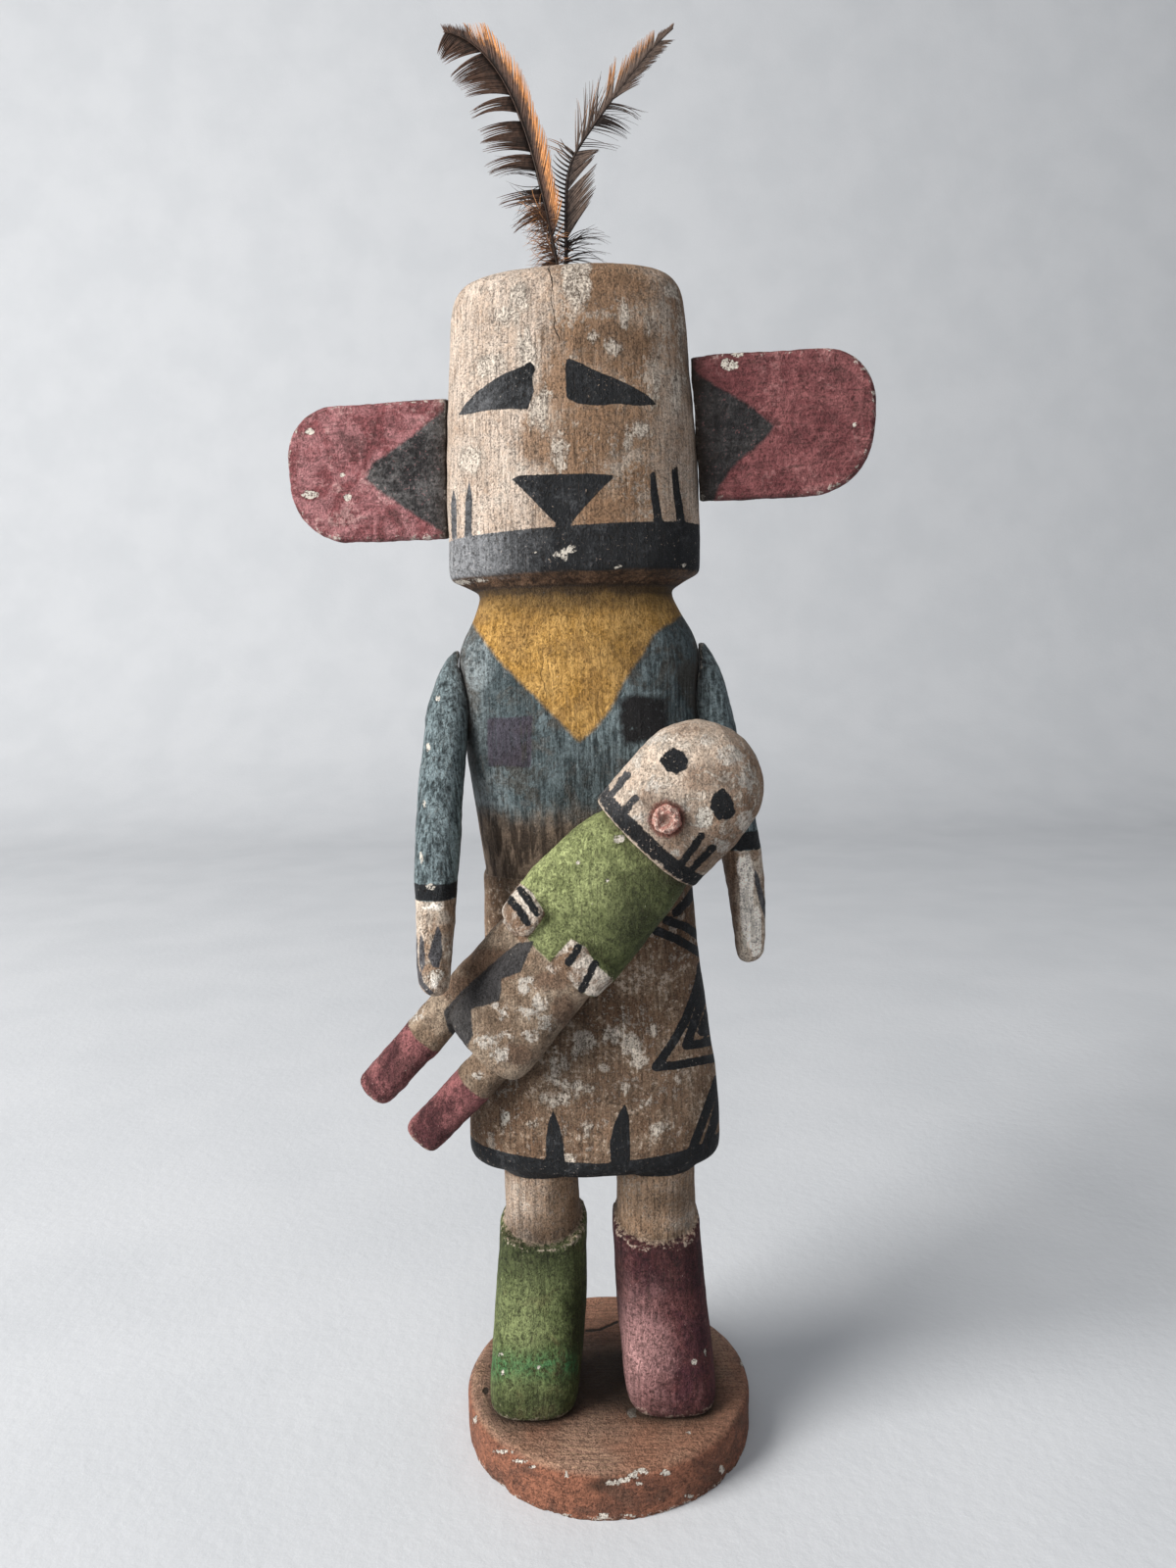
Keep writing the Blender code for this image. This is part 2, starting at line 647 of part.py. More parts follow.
def left_feather_widths(share):
    """Vane widths on the doll's right and left of the shaft: short barbs right, a broad vane left."""
    full = vane_fullness(share, 0.10)
    broad = LEFT_LOWER_VANE if share < 0.45 else LEFT_UPPER_VANE
    return LEFT_INNER_VANE * full * clumps(share, 9, 0.45), broad * full * clumps(share, 6, 0.55)


def make_feather(name, place, length, heading, widths, material):
    """A quill in its bore, and above it a curved shaft with a flat vane on each side."""
    root = quill_root(place)

    def section(point, turn, right_width, left_width, shaft):
        across = Vector((math.cos(turn), 0, -math.sin(turn)))
        half = VANE_THICKNESS / 2
        flat = ((left_width, -half), (0, -shaft), (-right_width, -half), (-right_width, half), (0, shaft),
                (left_width, half))
        return [point + across * x + Vector((0, y, 0)) for x, y in flat]

    rings = [section(root + Vector((0, 0, z)), 0, QUILL_RADIUS, QUILL_RADIUS, QUILL_RADIUS)
             for z in (-QUILL_DEPTH, QUILL_SHOWING)]
    point = root + Vector((0, 0, QUILL_SHOWING))
    step = length / VANE_STEPS
    for i in range(1, VANE_STEPS + 1):
        share = i / VANE_STEPS
        turn = math.radians(heading(share))
        point = point + Vector((math.sin(turn), 0, math.cos(turn))) * step
        shaft = QUILL_RADIUS * (1 - 0.55 * share)
        right_width, left_width = (max(w, shaft) for w in widths(share))
        rings.append(section(point, turn, right_width, left_width, shaft))
    return loft(name, rings, material)


def main():
    clear_scene()
    terracotta = paint("terracotta_paint", (0.30, 0.13, 0.08), 0.85)
    bare_cream = paint("worn_cream_paint", (0.42, 0.32, 0.23), 0.80)
    maroon = paint("maroon_paint", (0.27, 0.07, 0.07), 0.70)
    blue = paint("blue_grey_paint", (0.10, 0.15, 0.17), 0.55)
    cream = paint("child_cream_paint", (0.50, 0.38, 0.28), 0.75)
    raw_wood = paint("raw_wood", (0.50, 0.33, 0.24), 0.85)
    brown_feather = paint("brown_feather", (0.12, 0.08, 0.05), 0.70)
    make_plinth(terracotta)
    make_figure(bare_cream)
    make_ear("ear_right", -1, RIGHT_EAR_SHARE, maroon)
    make_ear("ear_left", 1, LEFT_EAR_SHARE, maroon)
    make_arm("arm_right", -1, (RIGHT_SHOULDER_OUT, RIGHT_SHOULDER_DROP), RIGHT_ARM_LENGTH, RIGHT_ARM_SWING,
             RIGHT_ARM_SPLAY, RIGHT_ARM_BOW_PLACE, blue)
    make_arm("arm_left", 1, (LEFT_SHOULDER_OUT, LEFT_SHOULDER_DROP), LEFT_ARM_LENGTH, LEFT_ARM_SWING,
             LEFT_ARM_SPLAY, LEFT_ARM_BOW_PLACE, blue)
    make_child(cream)
    make_snout(raw_wood)
    make_feather("feather_right", RIGHT_QUILL_PLACE, RIGHT_FEATHER_LENGTH, right_feather_heading,
                 right_feather_widths, brown_feather)
    make_feather("feather_left", LEFT_QUILL_PLACE, LEFT_FEATHER_LENGTH, left_feather_heading,
                 left_feather_widths, brown_feather)


main()
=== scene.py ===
"""Looks of a carved and painted standing doll with a child doll, on a round plinth.

Metres, +Z up; the doll faces -Y. Each carved piece is worked up from its solid: rounded, cut unevenly and
painted. The feathers are made barb by barb. Painted shapes are drawn as seen from the camera.
"""
import math
import random

import bmesh
import bpy
import numpy as np
from mathutils import Matrix, Vector
from mathutils.bvhtree import BVHTree


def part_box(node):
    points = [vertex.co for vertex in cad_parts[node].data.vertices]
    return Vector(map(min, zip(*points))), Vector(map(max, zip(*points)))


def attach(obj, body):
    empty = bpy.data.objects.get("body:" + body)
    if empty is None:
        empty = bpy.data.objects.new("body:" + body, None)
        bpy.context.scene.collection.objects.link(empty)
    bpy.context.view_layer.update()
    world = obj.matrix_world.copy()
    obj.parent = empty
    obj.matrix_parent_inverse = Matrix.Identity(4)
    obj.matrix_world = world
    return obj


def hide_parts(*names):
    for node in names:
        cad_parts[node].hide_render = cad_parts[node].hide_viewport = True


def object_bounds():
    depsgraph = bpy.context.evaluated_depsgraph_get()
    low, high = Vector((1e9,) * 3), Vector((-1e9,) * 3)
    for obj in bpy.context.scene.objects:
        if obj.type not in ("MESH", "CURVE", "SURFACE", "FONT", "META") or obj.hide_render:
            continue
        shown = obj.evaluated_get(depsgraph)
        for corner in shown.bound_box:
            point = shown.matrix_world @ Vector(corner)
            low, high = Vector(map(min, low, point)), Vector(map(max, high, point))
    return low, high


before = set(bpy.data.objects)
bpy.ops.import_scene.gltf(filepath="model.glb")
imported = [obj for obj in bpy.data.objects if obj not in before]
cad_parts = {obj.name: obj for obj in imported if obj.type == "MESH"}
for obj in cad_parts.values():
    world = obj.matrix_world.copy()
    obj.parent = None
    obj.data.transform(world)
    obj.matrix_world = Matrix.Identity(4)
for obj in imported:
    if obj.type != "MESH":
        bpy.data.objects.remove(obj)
cad_box = [np.array(corner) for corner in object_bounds()]
INSET = np.array((0.00001, 0.00001, 0.0))

# Camera, and the size of the photograph in its own pixels
PHOTO_WIDTH = 1200
PHOTO_HEIGHT = 1600
FOCAL_PX = 1109
CAMERA_PLACE = (-0.0033, -0.44, 0.3201)
CAMERA_PITCH = math.radians(5.94)
CAMERA_ROLL = math.radians(-1.2)
MM_PER_PX = 0.39

# Levels on the figure, in metres
CUFF_LEVEL = 0.0926
HEM_LEVEL = 0.1171
WAIST_LEVEL = 0.2391
BLUE_LOW_LEVEL = 0.2640
NECK_LEVEL = 0.3513
RIM_LEVEL = 0.3565
BAND_TOP_LEVEL = 0.3742
BAND_SLOPE = 0.034
HEM_BAND = 0.0083
HEM_BAND_RISE = 0.06
CUFF_DIP = 0.0045
CUFF_MIDDLE_Y = -0.0016
CUFF_REACH = 0.0211
FIGURE_MIDDLE = -0.0015
LEGS_MIDDLE = FIGURE_MIDDLE - 0.0008
YOKE_LEVEL = NECK_LEVEL - 0.011
SHIRT_TOP_LEVEL = NECK_LEVEL + 0.0012
BAND_LOW_LEVEL = RIM_LEVEL - 0.0016
SKIRT_LOW_LEVEL = HEM_LEVEL - 0.0005
HEM_LOW_LEVEL = HEM_LEVEL - 0.0008
# How far off the middle, to the doll's right, the black paint starts to be greyed by dust and a painted
# sheen, and is greyest
DUST_AND_SHEEN_SIDE = (0.010, 0.046)
# On the plinth: the level under which it is flat, how far back its chips go, and the oval between the
# boots painted dark with dirt and painted shade, as its place and half sizes
PLINTH_FLAT_LEVEL = 0.0006
PLINTH_FRONT_Y = 0.02
BETWEEN_BOOTS = (FIGURE_MIDDLE, -0.004, 0.011, 0.028)
# The black cuffs' lower and upper levels
RIGHT_CUFF = (0.2358, 0.2417)
LEFT_CUFF = (0.2469, 0.2544)
# The feathers: where they stand across the crown, how high above it they start to bend and how deep they
# are planted in it, their shafts, the thinnest barb, and what stays free above them
FEATHER_ROOTS = {"feather_right": -0.0105, "feather_left": -0.0077}
FEATHER_FOOT = 0.0015
FEATHER_PLANTED = 0.009
THINNEST = 0.00004
SHAFT_WIDTH = 0.0016
SHAFT_DEPTH = 0.0007
FEATHER_TOP_GAP = 0.0002

# How each piece is worked up, in metres: the fine mesh's spacing, the rounds of evening, and the knife's
# uneven cuts, each as its size and depth
PLINTH_WORK = (0.0009, 4, (0.020, 0.0007), (0.006, 0.0003))
FIGURE_WORK = (0.00130, 3, (0.030, 0.0012), (0.009, 0.0005))
EAR_WORK = (0.0006, 5, (0.012, 0.0009), (0.003, 0.0004))
ARM_WORK = (0.0006, 5, (0.016, 0.0011), (0.004, 0.0004))
CHILD_WORK = (0.0008, 3, (0.014, 0.0012), (0.004, 0.0005))
SNOUT_WORK = (0.00030, 2, (0.0022, 0.0019), (0.0008, 0.0006))

# The child's own axis: the back of its neck, its tilt, its lean and its roll
CHILD_NECK = (0.0211, -0.0258, 0.2575)
CHILD_TILT = math.radians(47.3)
CHILD_LEAN = math.radians(7)
CHILD_ROLL = math.radians(8)
# Along that axis, in millimetres from the neck: the black band, the shirt's length, the boots' tops, and
# the snout's height and end
CHILD_BAND = (0.8, 6.6)
CHILD_SHIRT_MM = 57.5
CHILD_BOOT_MM = 120.5
SNOUT_UP_MM = 15.0
SNOUT_END_MM = 42.5
SNOUT_SUNK = 0.0016
# The red ring round the snout, and the child's painted lines
CHILD_RING_MM = 6.6
CHILD_LINE_HALF_MM = 1.5
CHILD_MM_PER_PX = 0.34

# Painted shapes on the mask, as outlines in the photograph's pixels
RIGHT_EYE = ((467, 424), (475, 412), (485, 401), (500, 390), (515, 381), (530, 375), (541, 369),
             (547, 375), (543, 385), (545, 400), (541, 410), (539, 418), (520, 417), (495, 419),
             (476, 423))
LEFT_EYE = ((577, 365), (577, 385), (578, 406), (590, 412), (610, 414), (630, 412), (650, 414),
            (671, 413), (660, 403), (645, 394), (625, 385), (605, 377), (590, 369))
MOUTH = ((522, 489), (530, 485), (560, 484), (600, 483), (629, 485), (620, 493), (605, 508), (590, 525),
         (577, 542), (568, 535), (555, 522), (540, 506))
CHEEK_STRIPES = (
    ((461, 550), (460, 515), (463, 496), (466, 515), (466, 550)),
    ((474, 550), (475, 510), (479, 488), (482, 510), (481, 550)),
    ((663, 484), (668, 479), (671, 500), (677, 536), (668, 536), (664, 505)),
    ((685, 480), (691, 475), (694, 500), (700, 536), (691, 536), (687, 505)),
)
# On the torso
SCARF = ((470, 585), (471, 618), (483, 637), (500, 663), (520, 685), (550, 715), (575, 740), (591, 758),
         (605, 745), (620, 728), (630, 710), (640, 690), (655, 668), (668, 647), (680, 638), (700, 624),
         (706, 585))
VIOLET_PATCH = ((497, 733), (543, 731), (542, 783), (498, 781))
DARK_PATCH = ((633, 714), (648, 708), (668, 712), (681, 712), (681, 745), (663, 756), (636, 760),
              (632, 735))
# On the skirt
HEM_SPIKES = (
    ((557, 1196), (557, 1162), (560, 1143), (564, 1133), (570, 1146), (575, 1166), (577, 1196)),
    ((624, 1196), (622, 1166), (627, 1146), (634, 1131), (638, 1126), (642, 1140), (643, 1166),
     (643, 1196)),
)
SKIRT_LINES = (
    ((703, 1182), (715, 1150), (727, 1117), (733, 1100)),
    ((716, 1181), (727, 1150), (736, 1118)),
    ((716, 985), (713, 1003), (707, 1021), (699, 1041), (689, 1060), (679, 1075), (669, 1089),
     (690, 1087), (733, 1079)),
    ((722, 1004), (716, 1022), (708, 1045), (700, 1067), (715, 1065), (734, 1060)),
    ((725, 1028), (716, 1053), (733, 1050)),
    ((668, 949), (690, 958), (716, 973)),
    ((680, 939), (700, 946), (716, 957)),
    ((690, 931), (700, 921), (710, 907)),
)
SKIRT_LINE_HALF_MM = 1.75
# On the ears
RIGHT_EAR_MARK = ((373, 488), (380, 473), (400, 459), (420, 445), (440, 428), (458, 415), (458, 547),
                  (450, 542), (430, 530), (410, 517), (390, 503))
LEFT_EAR_MARK = ((791, 435), (776, 453), (760, 465), (745, 480), (735, 495), (727, 514), (700, 516),
                 (698, 362), (703, 370), (715, 385), (730, 393), (750, 404), (770, 417))
# On the hands of the arms: leaf-shaped strokes
RIGHT_HAND_STROKES = (
    ((447, 943), (451, 954), (451, 974), (448, 988), (441, 986), (437, 976), (441, 961)),
    ((429, 951), (433, 962), (434, 984), (430, 993), (427, 980)),
    ((423, 948), (426, 958), (427, 985), (433, 1003), (443, 1014), (438, 1016), (428, 1005), (423, 985)),
)
LEFT_HAND_STROKES = (((770, 886), (774, 893), (784, 932), (781, 938), (776, 925), (770, 900)),)
# On the child
CHILD_RIGHT_EYE = ((673, 776), (678, 767), (687, 763), (697, 766), (703, 775), (700, 785), (690, 790),
                   (680, 787))
CHILD_LEFT_EYE = ((729, 809), (738, 804), (746, 814), (751, 828), (745, 836), (733, 837), (727, 828),
                  (724, 824))
CHILD_FACE_LINES = (
    ((640, 790), (632, 800), (625, 810)),
    ((648, 815), (638, 826), (630, 833)),
    ((716, 853), (706, 867), (696, 879)),
    ((727, 865), (713, 880), (700, 893)),
)
CHILD_RIGHT_HAND = ((509, 911), (528, 899), (543, 911), (557, 933), (546, 949), (533, 963), (516, 946),
                    (507, 930))
CHILD_LEFT_HAND = ((583, 958), (598, 967), (609, 985), (626, 1000), (615, 1018), (600, 1016), (580, 1003),
                   (556, 988), (570, 972))
CHILD_WRIST_LINES = (
    ((520, 917), (531, 930), (538, 942)),
    ((531, 908), (541, 921), (548, 932)),
    ((590, 966), (580, 983)),
    ((607, 983), (601, 996), (594, 1010)),
)
KILT_STEPS = ((545, 960), (528, 962), (500, 985), (470, 1012), (452, 1032), (458, 1052), (477, 1070),
              (483, 1055), (481, 1030), (510, 1021), (512, 999), (531, 992))

# Patches where the pale ground shows, or where brown has been rubbed in: place and half sizes, in pixels
PALE_PATCHES = ((588, 292, 14, 34), (515, 322, 14, 9), (499, 374, 15, 13), (541, 362, 9, 24),
                (638, 320, 9, 12), (665, 326, 6, 14), (668, 380, 8, 24), (684, 297, 8, 9),
                (605, 345, 5, 5), (626, 355, 9, 7), (694, 335, 5, 24), (690, 398, 7, 18),
                (552, 420, 9, 20), (570, 455, 7, 16), (640, 455, 6, 14), (480, 470, 10, 12),
                (530, 300, 10, 16), (655, 440, 10, 8), (598, 1062, 10, 9), (588, 1075, 7, 4),
                (645, 1065, 12, 13), (638, 1040, 6, 12), (653, 1083, 6, 5), (570, 1122, 13, 5),
                (516, 1140, 5, 10), (675, 1152, 8, 4), (592, 1108, 12, 4), (566, 1095, 3, 11),
                (576, 1084, 6, 7), (626, 1058, 9, 8), (665, 1050, 9, 8), (690, 1100, 4, 8),
                (545, 1148, 4, 4), (618, 1090, 9, 5), (640, 1108, 10, 5), (660, 1125, 6, 5),
                (600, 1150, 8, 8), (580, 1182, 7, 5))
BROWN_PATCHES = ((615, 300, 36, 30), (600, 340, 38, 26), (650, 365, 22, 26), (572, 385, 16, 34),
                 (610, 440, 40, 28), (650, 500, 20, 26), (590, 470, 26, 14), (545, 455, 16, 20),
                 (690, 320, 16, 40), (620, 520, 24, 12))
CHILD_PALE_PATCHES = ((534, 1008, 7, 10), (541, 1000, 5, 6), (514, 1035, 6, 11), (506, 1025, 6, 5),
                      (550, 1027, 7, 9), (496, 1062, 11, 8), (516, 1055, 11, 7), (510, 1075, 9, 8),
                      (558, 1045, 7, 8), (541, 1057, 9, 7), (535, 1032, 9, 5), (488, 1097, 7, 6),
                      (660, 752, 16, 8), (648, 780, 6, 12), (720, 756, 10, 7), (745, 772, 12, 10),
                      (762, 795, 8, 12), (760, 838, 8, 10), (718, 834, 10, 13), (700, 825, 8, 5),
                      (735, 862, 10, 8), (665, 800, 6, 8), (655, 835, 8, 5), (690, 870, 7, 5),
                      (420, 1035, 9, 5))
CHILD_BROWN_PATCHES = ((500, 985, 30, 18), (478, 1008, 26, 14), (715, 795, 14, 12), (735, 790, 12, 10),
                       (700, 745, 14, 6), (765, 815, 7, 16), (745, 855, 12, 8), (710, 870, 10, 8),
                       (660, 815, 8, 10), (560, 1000, 18, 8), (575, 1030, 12, 14), (530, 1075, 16, 10))

# Painted shade and shadow, with some old dirt, as soft clouds: place, half sizes in pixels and depth from 0
# to 1
PAINTED_SHADE = ((668, 1222, 48, 24, 0.75), (545, 1276, 52, 34, 1.0), (684, 1282, 46, 36, 0.65),
        (585, 790, 70, 36, 0.55), (560, 860, 80, 34, 0.50), (700, 690, 34, 60, 0.50),
        (640, 655, 40, 50, 0.60), (600, 615, 110, 14, 0.75), (540, 1432, 46, 16, 0.60),
        (590, 1340, 9, 90, 0.85), (634, 1300, 6, 70, 0.70), (620, 1112, 60, 18, 0.35),
        (550, 1100, 40, 30, 0.35), (590, 1050, 30, 50, 0.50), (690, 930, 22, 70, 0.45),
        (680, 1120, 20, 24, 0.25), (455, 880, 10, 60, 0.3), (560, 1225, 12, 24, 0.5),
        (630, 345, 34, 30, 0.35), (640, 470, 44, 44, 0.35), (668, 660, 40, 50, 0.40))
CHILD_PAINTED_SHADE = ((648, 935, 30, 40, 0.80), (675, 900, 34, 20, 0.60), (712, 872, 30, 16, 0.60),
              (600, 940, 40, 16, 0.35), (565, 1050, 22, 30, 0.50), (510, 1110, 34, 12, 0.45),
              (430, 1090, 30, 14, 0.75), (490, 1150, 30, 14, 0.75), (470, 1000, 20, 30, 0.35),
              (735, 800, 16, 14, 0.30))

# Chips down to the white ground: place in the photograph and half its width and height, in pixels
MASK_CHIPS = ((568, 566, 5, 3), (576, 566, 3, 6), (583, 560, 5, 4), (545, 563, 3, 1.5), (630, 578, 4, 2),
              (698, 577, 3, 2), (472, 594, 9, 2.5), (490, 592, 7, 2), (555, 606, 3, 1.5))
EAR_CHIPS = ((316, 505, 8, 4), (355, 508, 4, 3), (316, 440, 4, 3), (349, 485, 3, 2), (744, 372, 9, 6),
             (752, 362, 6, 3), (872, 434, 2, 2))
PLINTH_CHIPS = ((626, 1513, 9, 2.5), (637, 1511, 6, 3), (646, 1506, 5, 3.5), (656, 1501, 6, 3),
                (679, 1503, 5, 3), (652, 1514, 3, 1.5), (485, 1449, 2, 4), (512, 1481, 8, 2),
                (530, 1491, 6, 2), (543, 1497, 3, 1.5), (578, 1505, 1.5, 3), (702, 1462, 2, 1.5),
                (757, 1390, 1.5, 3), (737, 1500, 2.5, 4), (615, 1547, 6, 3), (534, 1535, 6, 1.5),
                (555, 1546, 4, 1.5), (578, 1546, 4, 1.5), (641, 1547, 5, 1.5), (703, 1527, 4, 2),
                (645, 1441, 4, 5))
ARM_CHIPS = ((437, 762, 2, 4), (430, 875, 1.5, 5), (447, 712, 2, 3), (440, 905, 5, 3), (445, 995, 8, 6),
             (762, 915, 2, 14), (768, 945, 2, 12), (760, 962, 2, 6), (433, 820, 1.5, 3))
# Painted highlights along the hands' ridges: place, half sizes in pixels and strength
HAND_PAINTED_HIGHLIGHTS = ((762, 915, 8, 50, 1.0), (771, 950, 7, 30, 1.0), (757, 885, 7, 14, 0.9),
               (446, 925, 20, 10, 0.5), (444, 1000, 9, 14, 0.6), (458, 965, 5, 26, 0.4))
BOOT_CHIPS = ((510, 1382, 4, 1.5), (513, 1401, 2, 3), (550, 1395, 2, 2), (708, 1390, 3, 3),
              (720, 1380, 1, 3), (516, 1140, 4, 6))
CHILD_CHIPS = ((632, 856, 6, 4), (719, 834, 9, 11), (753, 767, 3, 3), (590, 880, 2, 2),
               (620, 898, 2, 2))


# Where a look starts and where it is fullest, across or down the photograph in its pixels
LIT_SHIRT_SIDE = (520, 470)
BROWNED_MASK = (530, 590)
PALER_MASK = (655, 685)
RIGHT_HAND_BROWN = (452, 466)
LEFT_HAND_BROWN = (757, 749)
CHILD_GREYED_ROWS = (845, 805)
CHILD_GREYED_EDGE = 660
EMERALD_ROW = 1393
EMERALD_HALF = 14
BETWEEN_BOOTS_X = 590
# Slopes: a place, and over how many pixels a look gains 1 across and down, as across, length, down, length
CHILD_SHADE_SLOPE = (590, 95, 872, 125)
CHILD_TAN_SLOPE = (690, 110, 800, 160)
# Soft ovals: place and half sizes, in pixels
GREEN_SHIN = (535, 1340, 26, 60)
PLUM_SHIN = (648, 1380, 34, 60)
PLINTH_SMUDGE = (609, 1516, 11, 7)
# Cracks, a knot hole in the board, and the stub on the child's face
MASK_CRACK_X = 562
MASK_CRACK_TOP = 272
MASK_CRACK_END = 350
MASK_CRACK_LEAN = 0.05
SHIRT_CRACK_X = 556
SHIRT_CRACK_TOP = 660
SHIRT_CRACK_END = 742
PLINTH_CRACK = ((598, 1358), (612, 1357), (630, 1349))
PLINTH_CRACK_HALF_MM = 0.5
PLINTH_HOLES = ((496, 1419, 3, 4),)
SNOUT_PLACE = (680, 836)

SEED = 7
# Stands for a place well outside any painted shape, in millimetres
OUTSIDE = -9.0


# Places, outlines and lines

def seen_at(points):
    """Where points of the doll show in the photograph, in its pixels."""
    off = points - np.array(CAMERA_PLACE)
    c = math.cos(CAMERA_PITCH)
    s = math.sin(CAMERA_PITCH)
    depth = off[:, 1] * c - off[:, 2] * s
    across = FOCAL_PX * off[:, 0] / depth
    down = -FOCAL_PX * (off[:, 2] * c + off[:, 1] * s) / depth
    c = math.cos(CAMERA_ROLL)
    s = math.sin(CAMERA_ROLL)
    return np.stack([PHOTO_WIDTH / 2 + across * c - down * s, PHOTO_HEIGHT / 2 + across * s + down * c], 1)


def distance_to(places, start, end):
    """How far each place is from a straight stroke, in pixels."""
    run = np.subtract(end, start).astype(float)
    off = places - np.array(start, float)
    t = np.clip(off @ run / max(run @ run, 1e-9), 0, 1)
    return np.linalg.norm(off - t[:, None] * run, axis=1)


def inside(places, outline):
    """How far inside a closed outline each place is, in millimetres. Outside it is below 0."""
    nearest = np.full(len(places), 1e9)
    within = np.zeros(len(places), bool)
    for a, b in zip(outline, outline[1:] + outline[:1]):
        nearest = np.minimum(nearest, distance_to(places, a, b))
        crosses = (a[1] > places[:, 1]) != (b[1] > places[:, 1])
        rise = b[1] - a[1] if b[1] != a[1] else 1e-9
        within ^= crosses & (places[:, 0] < a[0] + (places[:, 1] - a[1]) / rise * (b[0] - a[0]))
    return np.where(within, nearest, -nearest) * MM_PER_PX


def along(places, line, half_mm):
    """How far inside a line of some width each place is, in millimetres."""
    nearest = np.min([distance_to(places, a, b) for a, b in zip(line, line[1:])], axis=0)
    return half_mm - nearest * MM_PER_PX


def in_chips(places, chips):
    """How far inside the nearest of some oval chips each place is, in millimetres."""
    found = [(1 - np.hypot((places[:, 0] - x) / wide, (places[:, 1] - y) / high)) * min(wide, high)
             for x, y, wide, high in chips]
    return np.max(found, axis=0) * MM_PER_PX


def in_patches(places, patches, normals):
    """in_chips for the soft patches of the front: nothing is carried through to the back."""
    return np.where(normals[:, 1] < 0.1, in_chips(places, patches), OUTSIDE)


def ramp(values, start, full):
    """0 at start and before it, 1 at full and past it. full may be lower than start."""
    return np.clip((values - start) / (full - start), 0, 1)


def slanted(places, slope):
    """A number that is 0 at a place and rises across and down the photograph."""
    x, wide, y, high = slope
    return (places[:, 0] - x) / wide + (places[:, 1] - y) / high


def soft_oval(places, oval):
    """1 in the middle of an oval, falling away softly past its half sizes."""
    x, y, wide, high = oval
    return np.exp(-((places[:, 0] - x) / wide) ** 2 - ((places[:, 1] - y) / high) ** 2)


def clouded(places, clouds, normals):
    """Depth of some soft clouds on the front, from 0 to 1: painted shade, and painted highlights on the
    hands.
    """
    depth = np.zeros(len(places))
    for x, y, wide, high, strength in clouds:
        fall = np.hypot((places[:, 0] - x) / wide, (places[:, 1] - y) / high)
        depth = np.maximum(depth, strength * np.exp(-fall ** 2 * 0.9))
    return np.where(normals[:, 1] < 0.3, depth, 0)


# Meshes

def points_of(piece):
    found = np.zeros(len(piece.data.vertices) * 3, np.float32)
    piece.data.vertices.foreach_get("co", found)
    return found.reshape(-1, 3).astype(float)


def normals_of(piece):
    found = np.zeros(len(piece.data.vertices) * 3, np.float32)
    piece.data.vertex_normals.foreach_get("vector", found)
    return found.reshape(-1, 3).astype(float)


def move_points(piece, points):
    piece.data.vertices.foreach_set("co", points.astype(np.float32).ravel())
    piece.data.update()


def keep(piece, name, values):
    """Keeps one number for each point of a piece, for its paint to read."""
    layer = piece.data.attributes.new(name, "FLOAT", "POINT")
    layer.data.foreach_set("value", np.asarray(values, np.float32))


def blur(piece, values, rounds):
    """Evens out values over neighbouring points."""
    edges = np.zeros(len(piece.data.edges) * 2, np.int32)
    piece.data.edges.foreach_get("vertices", edges)
    a, b = edges.reshape(-1, 2).T
    count = len(piece.data.vertices)
    share = np.maximum(np.bincount(a, minlength=count) + np.bincount(b, minlength=count), 1)
    columns = values.reshape(count, -1).astype(float)
    for _ in range(rounds):
        summed = [np.bincount(a, column[b], count) + np.bincount(b, column[a], count)
                  for column in columns.T]
        columns = (columns + np.stack(summed, 1) / share[:, None]) / 2
    return columns.reshape(values.shape)


def relief_of(piece, rounds=24):
    """How far each point stands out of the evened surface, in millimetres. In hollows it is below 0."""
    points = points_of(piece)
    return ((points - blur(piece, points, rounds)) * normals_of(piece)).sum(1) * 1000


def only(piece):
    bpy.ops.object.select_all(action="DESELECT")
    piece.select_set(True)
    bpy.context.view_layer.objects.active = piece


def modify(piece, kind, **settings):
    """Adds a modifier and applies it."""
    only(piece)
    change = piece.modifiers.new(kind.lower(), kind)
    for name, value in settings.items():
        setattr(change, name, value)
    bpy.ops.object.modifier_apply(modifier=change.name)


def cut_unevenly(piece, size, depth):
    """Moves the surface in and out in soft lumps of a size, both in metres."""
    lumps = bpy.data.textures.new(piece.name + "_lumps", "CLOUDS")
    lumps.noise_scale = size
    lumps.noise_depth = 1
    modify(piece, "DISPLACE", texture=lumps, texture_coords="LOCAL", strength=depth, mid_level=0.5)
    bpy.data.textures.remove(lumps)


def work_up(name, node, voxel, even, *cuts):
    """A fine closed mesh of a solid: facets rounded off, sharp edges kept, the surface cut unevenly."""
    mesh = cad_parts[node].data.copy()
    mesh.materials.clear()
    piece = bpy.data.objects.new(name, mesh)
    bpy.context.scene.collection.objects.link(piece)
    only(piece)
    bpy.ops.object.mode_set(mode="EDIT")
    bpy.ops.mesh.select_all(action="SELECT")
    bpy.ops.mesh.remove_doubles(threshold=0.00001)
    bpy.ops.mesh.tris_convert_to_quads(face_threshold=math.radians(30), shape_threshold=math.radians(60))
    bpy.ops.mesh.normals_make_consistent(inside=False)
    bpy.ops.mesh.select_mode(type="EDGE")
    bpy.ops.mesh.select_all(action="DESELECT")
    bpy.ops.mesh.edges_select_sharp(sharpness=math.radians(38))
    bpy.ops.transform.edge_crease(value=0.9)
    bpy.ops.object.mode_set(mode="OBJECT")
    modify(piece, "SUBSURF", levels=2, render_levels=2)
    modify(piece, "REMESH", mode="VOXEL", voxel_size=voxel, adaptivity=0)
    modify(piece, "SMOOTH", factor=0.5, iterations=even)
    for size, depth in cuts:
        cut_unevenly(piece, size, depth)
    return piece


